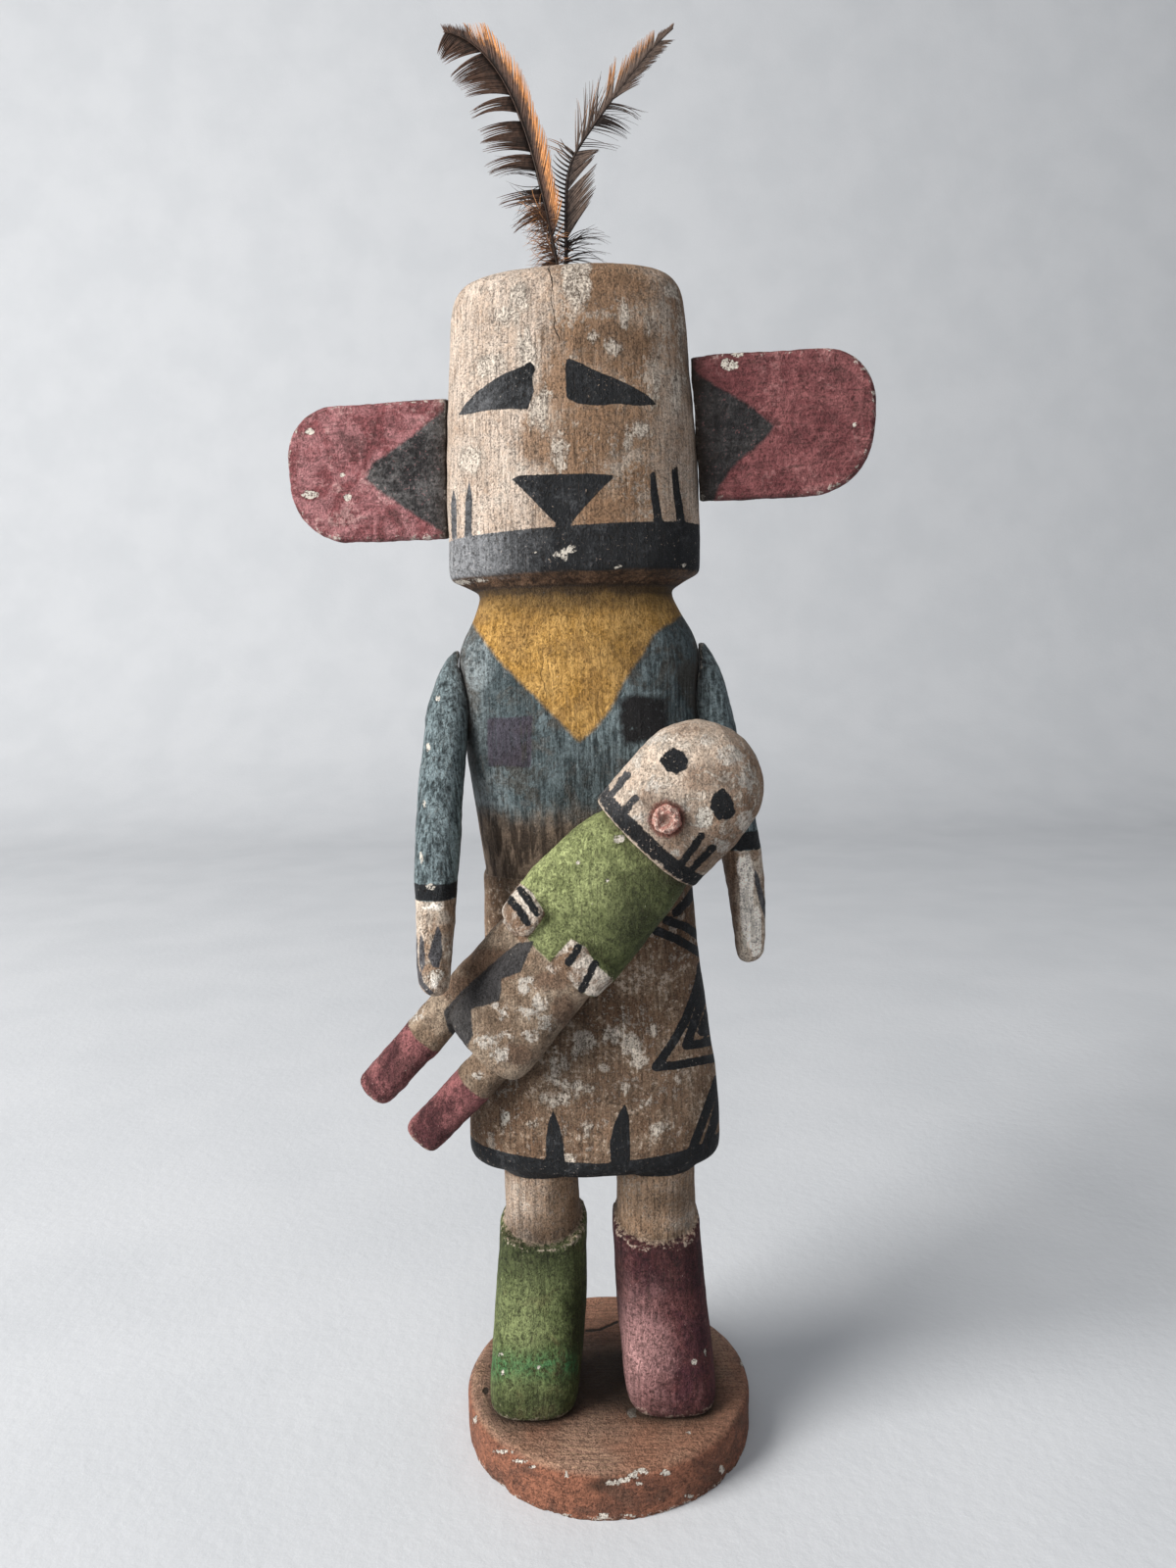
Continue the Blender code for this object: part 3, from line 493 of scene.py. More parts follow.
def contact_of(piece, *nodes, reach=0.003):
    """Nearness to other pieces' solids: 1 where they touch, falling away over a reach."""
    points = points_of(piece)
    nearest = np.full(len(points), 1.0)
    for node in nodes:
        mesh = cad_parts[node].data
        mesh.calc_loop_triangles()
        corners = [triangle.vertices for triangle in mesh.loop_triangles]
        tree = BVHTree.FromPolygons([vertex.co for vertex in mesh.vertices], corners)
        low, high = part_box(node)
        near = np.all((points > np.array(low) - 4 * reach) & (points < np.array(high) + 4 * reach), axis=1)
        for i in np.nonzero(near)[0]:
            found = tree.find_nearest(points[i], 4 * reach)
            if found[3] is not None:
                nearest[i] = min(nearest[i], found[3])
    return np.exp(-nearest / reach)


def finish_piece(piece, material, slot, *nodes):
    """Keeps a piece inside the box of the solids, gives it its paint, hides its solids and attaches it to
    the root body.
    """
    move_points(piece, np.clip(points_of(piece), cad_box[0] + INSET, cad_box[1] - INSET))
    piece.data.materials.clear()
    piece.data.materials.append(material)
    only(piece)
    bpy.ops.object.shade_smooth()
    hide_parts(*nodes)
    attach(piece, "root")


# Paint and wood

class Finish:
    """One material, whose nodes are added and joined up by small calls."""

    def __init__(self, name):
        self.material = bpy.data.materials.new(name)
        self.material.use_nodes = True
        self.tree = self.material.node_tree
        self.shader = self.tree.nodes["Principled BSDF"]
        self.place = self.put("ShaderNodeTexCoord").outputs["Object"]

    def put(self, kind, values=None, **settings):
        node = self.tree.nodes.new(kind)
        for name, value in settings.items():
            setattr(node, name, value)
        for key, value in (values or {}).items():
            if isinstance(value, bpy.types.NodeSocket):
                self.tree.links.new(value, node.inputs[key])
            else:
                node.inputs[key].default_value = value
        return node

    def value(self, name):
        """The number that a piece keeps under a name."""
        return self.put("ShaderNodeAttribute", attribute_name=name).outputs["Fac"]

    def stretched(self, x, y, z):
        return self.put("ShaderNodeMapping", {"Vector": self.place, "Scale": (x, y, z)}).outputs[0]

    def noise(self, scale, detail=3.0, roughness=0.55, at=None, distortion=0.0):
        values = {"Vector": at or self.place, "Scale": scale, "Detail": detail, "Roughness": roughness,
                  "Distortion": distortion}
        return self.put("ShaderNodeTexNoise", values).outputs["Fac"]

    def math(self, operation, a, b=0.0, c=0.0, clamp=False):
        values = {0: a, 1: b, 2: c}
        return self.put("ShaderNodeMath", values, operation=operation, use_clamp=clamp).outputs[0]

    def add(self, *terms):
        total = terms[0]
        for term in terms[1:]:
            total = self.math("ADD", total, term)
        return total

    def times(self, a, b):
        return self.math("MULTIPLY", a, b)

    def swing(self, noise, strength, middle=0.5):
        """A noise turned into a number that swings to both sides of 0."""
        return self.times(self.add(noise, -middle), strength)

    def capped(self, a, b):
        """A sum held between 0 and 1."""
        return self.math("ADD", a, b, clamp=True)

    def rise(self, value, low, high, most=1.0):
        """0 up to low, most from high on, and a soft step between them."""
        values = {"Value": value, "From Min": low, "From Max": high, "To Max": most}
        return self.put("ShaderNodeMapRange", values, interpolation_type="SMOOTHSTEP").outputs[0]

    def either(self, a, b):
        return self.math("MAXIMUM", a, b)

    def less(self, value, mask):
        """A value held back where a mask is 1."""
        return self.times(value, self.math("SUBTRACT", 1.0, mask))

    def mix(self, factor, a, b):
        def full(colour):
            return (*colour, 1.0) if isinstance(colour, tuple) else colour
        return self.put("ShaderNodeMix", {0: factor, 6: full(a), 7: full(b)}, data_type="RGBA").outputs[2]

    def multiply(self, colour, factor):
        """A colour made darker or lighter by a number."""
        return self.put("ShaderNodeVectorMath", {0: colour, "Scale": factor}, operation="SCALE").outputs[0]

    def edge(self, name, wobble=0.45, soft=0.22, scale=420):
        """A painted area with a hand's uneven edge: 1 inside and 0 outside. Widths are in millimetres."""
        uneven = self.swing(self.noise(scale, 4, 0.65), 2 * wobble)
        return self.rise(self.add(self.value(name), uneven), -soft, soft)

    def done(self, colour, roughness, height, depth=0.0004, strength=1.0, gloss=0.2):
        bump = self.put("ShaderNodeBump", {"Height": height, "Distance": depth, "Strength": strength})
        self.tree.links.new(colour, self.shader.inputs["Base Color"])
        self.tree.links.new(roughness, self.shader.inputs["Roughness"])
        self.tree.links.new(bump.outputs[0], self.shader.inputs["Normal"])
        self.shader.inputs["Specular IOR Level"].default_value = gloss
        return self.material


# Colours, as linear light
CREAM = (0.62, 0.515, 0.430)
GESSO = (0.68, 0.62, 0.54)
CRUST = (0.60, 0.525, 0.445)
TAN = (0.325, 0.215, 0.140)
BROWN = (0.215, 0.130, 0.078)
DIRT_AND_SHADE = (0.030, 0.019, 0.012)
RAW_WOOD = (0.42, 0.27, 0.17)
BLACK = (0.010, 0.011, 0.013)
DUSTY_SHEEN_BLACK = (0.280, 0.284, 0.294)
BLUE = (0.040, 0.057, 0.062)
LIGHT_BLUE = (0.180, 0.228, 0.240)
OCHRE = (0.43, 0.225, 0.045)
LIGHT_OCHRE = (0.57, 0.335, 0.105)
VIOLET = (0.056, 0.045, 0.062)
GREEN = (0.066, 0.085, 0.026)
LIGHT_GREEN = (0.152, 0.182, 0.072)
EMERALD = (0.050, 0.150, 0.055)
PLUM = (0.105, 0.034, 0.034)
PINK = (0.44, 0.245, 0.235)
MAROON = (0.200, 0.058, 0.062)
ROSE = (0.350, 0.150, 0.155)
TERRACOTTA = (0.275, 0.112, 0.066)
DUSTY_BROWN = (0.400, 0.250, 0.165)
RED = (0.32, 0.05, 0.035)
HANDLED_BROWN = (0.225, 0.130, 0.073)
SKIRT_BROWN = (0.220, 0.138, 0.088)
SKIRT_DARK = (0.135, 0.078, 0.046)
SKIRT_LIGHT = (0.290, 0.203, 0.138)
SKIRT_SPOT = (0.44, 0.36, 0.29)
LIT_SIDE_BLUE = (0.37, 0.405, 0.410)
CHALKY_BLUE = (0.26, 0.27, 0.265)
SHIRT_DIRT = (0.075, 0.062, 0.048)
WAIST_DARK = (0.070, 0.048, 0.034)
WAIST_LIGHT = (0.250, 0.180, 0.130)
DIRTY_OCHRE = (0.24, 0.125, 0.035)
PATCH_BLACK = (0.012, 0.011, 0.012)
DIRTY_GREEN = (0.120, 0.090, 0.040)
SHIN_LIGHT_GREEN = (0.265, 0.300, 0.138)
DARK_PLUM = (0.060, 0.018, 0.024)
CUFF_CREAM = (0.55, 0.42, 0.31)
RIM_DARK = (0.045, 0.024, 0.014)
RIM_BROWN = (0.15, 0.085, 0.05)
DARK_MAROON = (0.085, 0.030, 0.032)
LIT_DUSTY_ROSE = (0.47, 0.30, 0.28)
SHADED_MAROON = (0.125, 0.036, 0.038)
SHADED_ROSE = (0.215, 0.075, 0.075)
EAR_BLACK = (0.014, 0.013, 0.014)
EAR_CHARCOAL = (0.022, 0.020, 0.021)
EAR_GREY = (0.200, 0.190, 0.185)
WORN_WOOD = (0.060, 0.038, 0.028)
SLEEVE_DIRT = (0.080, 0.070, 0.055)
HAND_CREAM = (0.60, 0.51, 0.42)
HAND_TAN = (0.30, 0.20, 0.135)
HAND_BROWN = (0.13, 0.075, 0.048)
HIGHLIGHT_WHITE = (0.92, 0.85, 0.77)
HAND_SLATE = (0.050, 0.056, 0.070)
CHILD_CREAM = (0.63, 0.515, 0.415)
CHILD_TAN = (0.300, 0.195, 0.130)
CHILD_BROWN = (0.220, 0.130, 0.080)
CHILD_GESSO = (0.62, 0.55, 0.47)
CHILD_CRUST = (0.58, 0.53, 0.47)
CHILD_GREEN = (0.190, 0.215, 0.085)
CHILD_LIGHT_GREEN = (0.390, 0.430, 0.190)
CHILD_SHADED_GREEN = (0.062, 0.074, 0.024)
KILT_BROWN = (0.220, 0.150, 0.100)
KILT_TAN = (0.370, 0.282, 0.205)
KILT_DARK = (0.165, 0.095, 0.060)
KILT_SLATE = (0.040, 0.041, 0.044)
CHILD_MAROON = (0.28, 0.105, 0.105)
CHILD_DARK_MAROON = (0.080, 0.025, 0.028)
CHILD_HAND_CREAM = (0.66, 0.58, 0.50)
CHILD_HAND_BROWN = (0.20, 0.125, 0.080)
RING_RED = (0.30, 0.075, 0.055)
CHILD_GREY = (0.085, 0.085, 0.088)
DARK_TERRACOTTA = (0.145, 0.062, 0.040)
PLINTH_BROWN = (0.34, 0.200, 0.140)
PLINTH_RED = (0.30, 0.150, 0.095)
PLINTH_DARK = (0.16, 0.085, 0.055)
PLINTH_RIM = (0.46, 0.25, 0.165)
TORN_RED = (0.46, 0.22, 0.18)
TORN_PALE = (0.70, 0.52, 0.44)
TORN_CORE = (0.13, 0.07, 0.05)
TORN_DARK = (0.20, 0.080, 0.060)
BACKDROP_GREY = (0.50, 0.512, 0.530)
BACKDROP_LIGHT = (0.53, 0.540, 0.557)


class WoodFinish(Finish):
    """Paint on carved wood, with the noise that all the carved pieces share."""

    def __init__(self, name, level=False):
        """Fibres and strokes run up, or level on boards."""
        super().__init__(name)
        run = self.level_run if level else self.upright_run
        self.blotch = self.noise(26, 3, 0.55)
        self.mottle = self.noise(95, 6, 0.66, distortion=0.4)
        self.patch = self.noise(58, 8, 0.72, distortion=0.5)
        self.speckle = self.noise(520, 4, 0.70)
        self.grit = self.noise(1350, 3, 0.75)
        self.fibre = self.noise(1, 4, 0.62, at=run(900, 42))
        self.stroke = self.noise(1, 4, 0.65, at=run(330, 60), distortion=0.5)
        self.split = self.noise(1, 3, 0.6, at=run(620, 55), distortion=0.8)
        self.coarse = self.add(self.times(self.mottle, 0.6), self.times(self.speckle, 0.4))
        self.grain = self.add(self.times(self.grit, 0.6), self.times(self.speckle, 0.4))
        self.fleck = self.add(self.grit, self.times(self.speckle, 0.5))

    def upright_run(self, across, lengthwise):
        return self.stretched(across, across, lengthwise)

    def level_run(self, across, lengthwise):
        return self.stretched(lengthwise, across, across)

    def brushed(self):
        """Uneven brush strokes along the wood."""
        return self.add(self.times(self.stroke, 0.25), self.times(self.fibre, 0.3),
                        self.times(self.coarse, 0.45))

    def grained(self, colour, depth=1.0):
        """The dry, gritty look of old paint: light and dark grains, pits and fine splits along the wood."""
        grains = self.add(self.times(self.grain, 0.62), self.times(self.fibre, 0.28),
                          self.times(self.stroke, 0.1))
        shade = self.add(self.rise(grains, 0.42, 0.58, 0.84), -0.46)
        shade = self.add(1.0, self.times(shade, depth))
        shade = self.times(shade, self.add(0.85, self.times(self.coarse, 0.30)))
        colour = self.multiply(colour, shade)
        pits = self.rise(self.add(self.grit, self.times(self.speckle, 0.6)), 0.69, 0.63, 0.42)
        splits = self.times(self.rise(self.split, 0.61, 0.66, 0.60), self.rise(self.speckle, 0.44, 0.54))
        dark = self.either(pits, splits)
        return self.mix(self.times(dark, depth), colour, DIRT_AND_SHADE), dark

    def surface(self, dark, *terms):
        """Height of the gritty surface, with a piece's own terms."""
        return self.add(self.times(self.mottle, 1.3), self.times(self.speckle, 1.0),
                        self.times(self.grit, 0.60), self.times(self.fibre, 0.35),
                        self.times(dark, -0.45), *terms)

    def chipped(self, wobble, soft, scale, low=0.43):
        """Chips through the paint, broken up by the grain."""
        return self.times(self.edge("chips", wobble, soft, scale), self.rise(self.grain, low, low + 0.06))

    def worn_edges(self, ragged, low, high):
        """Edges worn through the paint, 1 where they are bare."""
        return self.rise(self.add(self.value("worn"), self.swing(self.speckle, ragged)), low, high)

    def in_painted_shade(self, colour, left):
        """A colour darkened by painted shade and shadow, to the share of it that is left."""
        painted_shade = self.math("MULTIPLY", self.value("painted_shade"), self.add(0.55, self.coarse), clamp=True)
        return self.mix(self.times(painted_shade, 0.85), colour, self.multiply(colour, left))


def figure_finish():
    f = WoodFinish("weathered_doll_paint")
    tan = f.value("tan")
    skirt = f.edge("skirt", 0.6, 0.5)
    blue = f.edge("blue", 9.0, 8.0, 60)
    scarf = f.edge("scarf", 1.3, 1.2, 240)
    violet = f.edge("violet", 0.9, 0.6, 300)
    boots = f.edge("boots", 0.6, 0.25)
    plum = f.rise(f.value("side"), -0.001, 0.001)
    dark_patch = f.edge("dark_patch", 2.2, 1.6, 200)
    marks = f.edge("marks", 0.42, 0.16, 620)
    ragged = f.add(f.swing(f.patch, 14.0), f.swing(f.stroke, 9.0), f.swing(f.speckle, 6.0))
    pale_marks = f.rise(f.add(f.value("pale"), ragged), -0.6, 1.4)
    brown_marks = f.rise(f.add(f.value("brown"), f.times(ragged, 1.6)), -5.0, 3.0)
    torso = f.rise(f.value("torso"), -0.3, 0.3)

    # Ground: cream on the mask and legs, browned by handling, with crusts of the pale ground
    film = f.capped(tan, f.swing(f.coarse, 2.4))
    colour = f.mix(film, CREAM, TAN)
    rubbed = f.rise(f.add(f.patch, f.swing(f.speckle, 0.35)), 0.50, 0.60)
    colour = f.mix(f.times(f.times(rubbed, f.add(film, 0.15)), 0.55), colour, BROWN)
    colour = f.mix(f.times(brown_marks, 0.82), colour, HANDLED_BROWN)
    crusts = f.rise(f.add(f.patch, f.swing(f.speckle, 0.5)), 0.435, 0.385)
    crusts = f.either(f.times(crusts, 0.45), f.times(pale_marks, f.rise(f.grain, 0.34, 0.52, 0.85)))

    # Skirt: brown over cream, with whitish spots where the brown has gone
    skirt_brown = f.mix(f.rise(f.blotch, 0.38, 0.66), SKIRT_BROWN, SKIRT_DARK)
    skirt_brown = f.mix(f.rise(f.patch, 0.46, 0.58, 0.7), skirt_brown, SKIRT_LIGHT)
    spots = f.rise(f.add(f.times(f.patch, 0.6), f.times(f.speckle, 0.55)), 0.625, 0.675)
    colour = f.mix(skirt, colour, skirt_brown)
    colour = f.mix(f.times(f.times(spots, skirt), 0.7), colour, SKIRT_SPOT)
    colour = f.mix(crusts, colour, CRUST)

    # Shirt: blue-grey in upright strokes, thinner and browner low down
    shirt = f.mix(f.rise(f.brushed(), 0.42, 0.57), BLUE, LIGHT_BLUE)
    # Painted highlight: the shirt's side toward the light painted paler
    shirt = f.mix(f.times(f.value("painted_lit_side"), f.rise(f.coarse, 0.40, 0.55)), shirt, LIT_SIDE_BLUE)
    shirt = f.mix(f.rise(f.blotch, 0.42, 0.62, 0.7), shirt, BLUE)
    shirt = f.mix(f.rise(f.patch, 0.47, 0.60, 0.7), shirt, SHIRT_DIRT)
    shirt = f.mix(f.rise(f.coarse, 0.44, 0.38, 0.45), shirt, CHALKY_BLUE)
    bare_waist = f.mix(f.rise(f.stroke, 0.42, 0.60), WAIST_DARK, WAIST_LIGHT)
    colour = f.mix(torso, colour, f.mix(blue, bare_waist, shirt))

    # Scarf: ochre with dirty patches; under the mask it is darkened by painted shade
    ochre = f.mix(f.rise(f.add(f.coarse, f.times(f.fibre, 0.3)), 0.50, 0.78), OCHRE, LIGHT_OCHRE)
    ochre = f.mix(f.rise(f.patch, 0.50, 0.60, 0.55), ochre, DIRTY_OCHRE)
    colour = f.mix(f.times(scarf, torso), colour, ochre)
    colour = f.mix(f.times(f.times(violet, f.rise(f.fibre, 0.30, 0.44)), 0.85), colour, VIOLET)
    colour = f.mix(f.times(dark_patch, f.rise(f.speckle, 0.26, 0.42)), colour, PATCH_BLACK)

    # Boots: one green, one plum, each lighter on the shin and instep
    green = f.mix(f.rise(f.add(f.coarse, f.times(f.blotch, 0.7)), 0.70, 0.98), GREEN, LIGHT_GREEN)
    green = f.mix(f.times(f.value("emerald"), f.rise(f.speckle, 0.36, 0.56)), green, EMERALD)
    green = f.mix(f.rise(f.patch, 0.53, 0.63, 0.45), green, DIRTY_GREEN)
    shin_lighter = f.capped(f.value("shin_lighter"), f.swing(f.coarse, 1.3, 0.55))
    green = f.mix(f.times(shin_lighter, 0.45), green, SHIN_LIGHT_GREEN)
    plum_coat = f.mix(f.rise(f.patch, 0.42, 0.62), PLUM, DARK_PLUM)
    boot = f.mix(plum, green, f.mix(f.times(shin_lighter, 0.85), plum_coat, PINK))
    colour = f.mix(boots, colour, boot)
    cuff_edge = f.rise(f.math("ABSOLUTE", f.value("boots")), 0.9, 0.35)
    cuff_edge = f.times(cuff_edge, f.rise(f.speckle, 0.46, 0.54))
    colour = f.mix(f.times(cuff_edge, 0.7), colour, CUFF_CREAM)

    # Black paint, thin in flecks, and greyed by dust and a painted sheen on the doll's lit right side
    greyed = f.capped(f.value("greyed"), f.swing(f.coarse, 1.2, 0.52))
    black = f.mix(f.times(greyed, 0.8), BLACK, DUSTY_SHEEN_BLACK)
    thin = f.rise(f.fleck, 0.93, 0.98)
    marks = f.less(marks, f.times(thin, 0.8))
    colour = f.mix(marks, colour, black)
    underside = f.value("underside")
    colour = f.mix(underside, colour, f.mix(f.rise(f.coarse, 0.4, 0.6), RIM_DARK, RIM_BROWN))
    # Painted shade: the clouds darken the paint where shadow falls
    colour = f.in_painted_shade(colour, 0.22)
    colour, dark = f.grained(colour, f.math("SUBTRACT", 0.95, f.times(torso, 0.30)))

    # Wear: chips to the white ground, bare edges, dirt in hollows, and dirt with painted shade where pieces
    # meet
    chips = f.chipped(1.2, 0.15, 700)
    flecks = f.rise(f.fleck, 0.985, 1.02, 0.9)
    edges = f.worn_edges(2.2, 0.62, 0.85)
    colour = f.mix(f.times(edges, 0.6), colour, f.mix(f.grit, RAW_WOOD, GESSO))
    colour = f.mix(f.either(chips, flecks), colour, GESSO)
    wander = f.swing(f.noise(90, 3), 9.0)
    crack = f.rise(f.math("ABSOLUTE", f.add(f.value("crack"), wander)), 0.34, 0.10)
    crack = f.times(f.times(crack, f.value("cracked")), f.rise(f.mottle, 0.42, 0.50))
    # Dirt in hollows, with painted shade where pieces meet, under the mask, between the legs and at the
    # waist
    dirt_and_shade = f.capped(f.times(f.value("dirt_and_contact_shade"), f.add(0.7, f.coarse)),
                     f.times(f.value("hollow"), f.rise(f.mottle, 0.3, 0.6)))
    colour = f.mix(f.either(f.times(dirt_and_shade, 0.9), f.times(crack, 0.9)), colour, DIRT_AND_SHADE)

    roughness = f.math("SUBTRACT", 0.82, f.times(f.either(marks, f.times(blue, torso)), 0.20))
    roughness = f.add(roughness, f.swing(f.speckle, 0.35))
    height = f.surface(dark, f.times(crusts, 0.30), f.times(marks, 0.12), f.times(chips, -0.6),
                       f.times(crack, -1.2))
    return f.done(colour, roughness, height, 0.0019)


def board_finish(name, base, light, light_side):
    """Maroon boards with a black mark, worn to the wood along their edges. light_side is how strongly pale
    dusty rose and greyed black are painted in on a lit ear: partly dust, partly painted light.
    """
    f = WoodFinish(name, level=True)
    swirl = f.noise(70, 6, 0.65, distortion=1.6)
    colour = f.mix(f.rise(swirl, 0.40, 0.62), base, light)
    colour = f.mix(f.rise(f.patch, 0.54, 0.64, 0.5), colour, DARK_MAROON)
    colour = f.mix(f.times(f.rise(f.coarse, 0.53, 0.62), light_side), colour, LIT_DUSTY_ROSE)
    mark = f.edge("marks", 1.3, 0.9, 300)
    mark = f.less(mark, f.rise(f.fleck, 0.86, 0.96, 0.8))
    grey = f.mix(f.rise(f.coarse, 0.40, 0.60), EAR_CHARCOAL, EAR_GREY)
    colour = f.mix(mark, colour, f.mix(light_side, EAR_BLACK, grey))
    colour, dark = f.grained(colour, 0.7)
    edges = f.worn_edges(2.4, 0.62, 0.82)
    colour = f.mix(f.times(edges, 0.75), colour, f.mix(f.rise(f.mottle, 0.44, 0.56), WORN_WOOD, GESSO))
    chips = f.chipped(1.5, 0.15, 520)
    colour = f.mix(chips, colour, GESSO)
    # Dirt, with painted shade where the board meets the mask
    dirt_and_shade = f.capped(f.times(f.value("dirt_and_contact_shade"), 1.2), f.rise(f.patch, 0.56, 0.68, 0.3))
    colour = f.mix(f.times(dirt_and_shade, 0.85), colour, DIRT_AND_SHADE)
    roughness = f.add(0.66, f.swing(f.speckle, 0.4))
    height = f.surface(dark, f.times(swirl, 0.9), f.times(chips, -0.5))
    return f.done(colour, roughness, height, 0.0018)


def arm_finish():
    f = WoodFinish("sleeve_and_hand_paint")
    colour = f.mix(f.rise(f.brushed(), 0.40, 0.56), BLUE, LIGHT_BLUE)
    colour = f.mix(f.rise(f.coarse, 0.54, 0.66, 0.6), colour, SLEEVE_DIRT)
    hand = f.edge("hand", 0.6, 0.3)
    skin = f.mix(f.rise(f.patch, 0.42, 0.60), HAND_CREAM, HAND_TAN)
    skin = f.mix(f.times(f.value("brown_side"), 0.9), skin, HAND_BROWN)
    # Painted highlight: a near-white streak along each hand's ridge
    ridge = f.rise(f.add(f.value("ridge"), f.swing(f.coarse, 1.2)), 0.40, 0.60)
    skin = f.mix(f.times(ridge, 0.9), skin, HIGHLIGHT_WHITE)
    colour = f.mix(hand, colour, skin)
    stripes = f.times(f.edge("stripes", 0.6, 0.3, 500), hand)
    colour = f.mix(f.times(stripes, 0.9), colour, HAND_SLATE)
    cuff = f.edge("cuff", 1.1, 0.3)
    colour = f.mix(cuff, colour, BLACK)
    colour, dark = f.grained(colour, 0.9)
    flecks = f.rise(f.fleck, 0.965, 1.0)
    edges = f.worn_edges(2.2, 0.60, 0.82)
    chips = f.chipped(1.2, 0.15, 700, 0.45)
    bright = f.either(chips, f.times(f.either(edges, flecks), 0.75))
    colour = f.mix(bright, colour, GESSO)
    # Painted shade with dirt where the arm meets the body
    colour = f.mix(f.times(f.value("dirt_and_contact_shade"), 0.9), colour, DIRT_AND_SHADE)
    roughness = f.add(0.52, f.times(hand, 0.25), f.swing(f.speckle, 0.35))
    height = f.surface(dark, f.times(f.stroke, 0.9))
    return f.done(colour, roughness, height, 0.0018)


def child_finish():
    f = WoodFinish("child_doll_paint")
    ragged = f.add(f.swing(f.patch, 10.0), f.swing(f.speckle, 9.0))
    pale_marks = f.times(f.rise(f.add(f.value("pale"), ragged), -0.3, 1.3), 0.8)
    brown_marks = f.rise(f.add(f.value("brown"), ragged), -1.4, 1.4)
    film = f.capped(f.value("tan"), f.swing(f.coarse, 3.0))
    colour = f.mix(film, CHILD_CREAM, CHILD_TAN)
    colour = f.mix(f.times(brown_marks, 0.55), colour, CHILD_BROWN)
    scraped = f.rise(f.add(f.noise(150, 7, 0.75, distortion=0.8), f.swing(f.speckle, 0.5)), 0.545, 0.585)
    colour = f.mix(f.times(scraped, 0.6), colour, CHILD_GESSO)
    green = f.mix(f.rise(f.coarse, 0.40, 0.62), CHILD_GREEN, CHILD_LIGHT_GREEN)
    # Painted shade: the shirt darkens toward its lower right, away from the light
    deep = f.capped(f.value("deep"), f.swing(f.patch, 1.6))
    green = f.mix(f.times(deep, 0.85), green, CHILD_SHADED_GREEN)
    shirt = f.edge("shirt", 1.0, 0.6, 260)
    colour = f.mix(shirt, colour, green)
    lower = f.rise(f.value("legs"), -0.4, 0.4)
    brown = f.mix(f.rise(f.patch, 0.42, 0.60), KILT_BROWN, KILT_TAN)
    brown = f.mix(f.times(brown_marks, 0.8), brown, KILT_DARK)
    colour = f.mix(lower, colour, brown)
    colour = f.mix(f.times(pale_marks, f.rise(f.speckle, 0.30, 0.52)), colour, CHILD_CRUST)
    slate = f.edge("slate", 0.9, 0.4, 300)
    colour = f.mix(f.times(slate, 0.94), colour, KILT_SLATE)
    boot = f.edge("boots", 1.0, 0.5, 300)
    maroon = f.mix(f.rise(f.patch, 0.42, 0.60), CHILD_MAROON, CHILD_DARK_MAROON)
    colour = f.mix(boot, colour, maroon)
    hands = f.edge("hands", 0.5, 0.3)
    colour = f.mix(hands, colour, f.mix(f.rise(f.patch, 0.44, 0.56), CHILD_HAND_CREAM, CHILD_HAND_BROWN))
    ring = f.edge("red_ring", 1.6, 0.9, 300)
    colour = f.mix(f.times(ring, 0.8), colour, RING_RED)
    marks = f.edge("marks", 1.3, 0.3, 420)
    thin = f.rise(f.fleck, 0.90, 0.97)
    marks = f.less(marks, f.times(thin, 0.85))
    colour = f.mix(marks, colour, f.mix(f.times(f.value("greyed"), 0.8), BLACK, CHILD_GREY))
    # Painted shade: the clouds darken the paint where shadow falls
    colour = f.in_painted_shade(colour, 0.25)
    colour, dark = f.grained(colour, 0.75)
    edges = f.worn_edges(2.0, 0.50, 0.72)
    colour = f.mix(f.times(edges, 0.7), colour, f.mix(f.grit, RAW_WOOD, GESSO))
    chips = f.chipped(1.4, 0.2, 600)
    flecks = f.rise(f.fleck, 0.97, 1.01)
    colour = f.mix(f.either(chips, f.times(flecks, 0.8)), colour, GESSO)
    # Dirt in hollows, with painted shade where the child meets other pieces and under its head
    dirt_and_shade = f.capped(f.times(f.value("dirt_and_contact_shade"), f.add(0.7, f.coarse)), f.value("hollow"))
    colour = f.mix(f.times(dirt_and_shade, 0.88), colour, DIRT_AND_SHADE)
    roughness = f.add(0.74, f.swing(f.speckle, 0.35))
    height = f.surface(dark, f.times(scraped, 0.3), f.times(chips, -0.4), f.times(marks, 0.15))
    return f.done(colour, roughness, height, 0.0018)


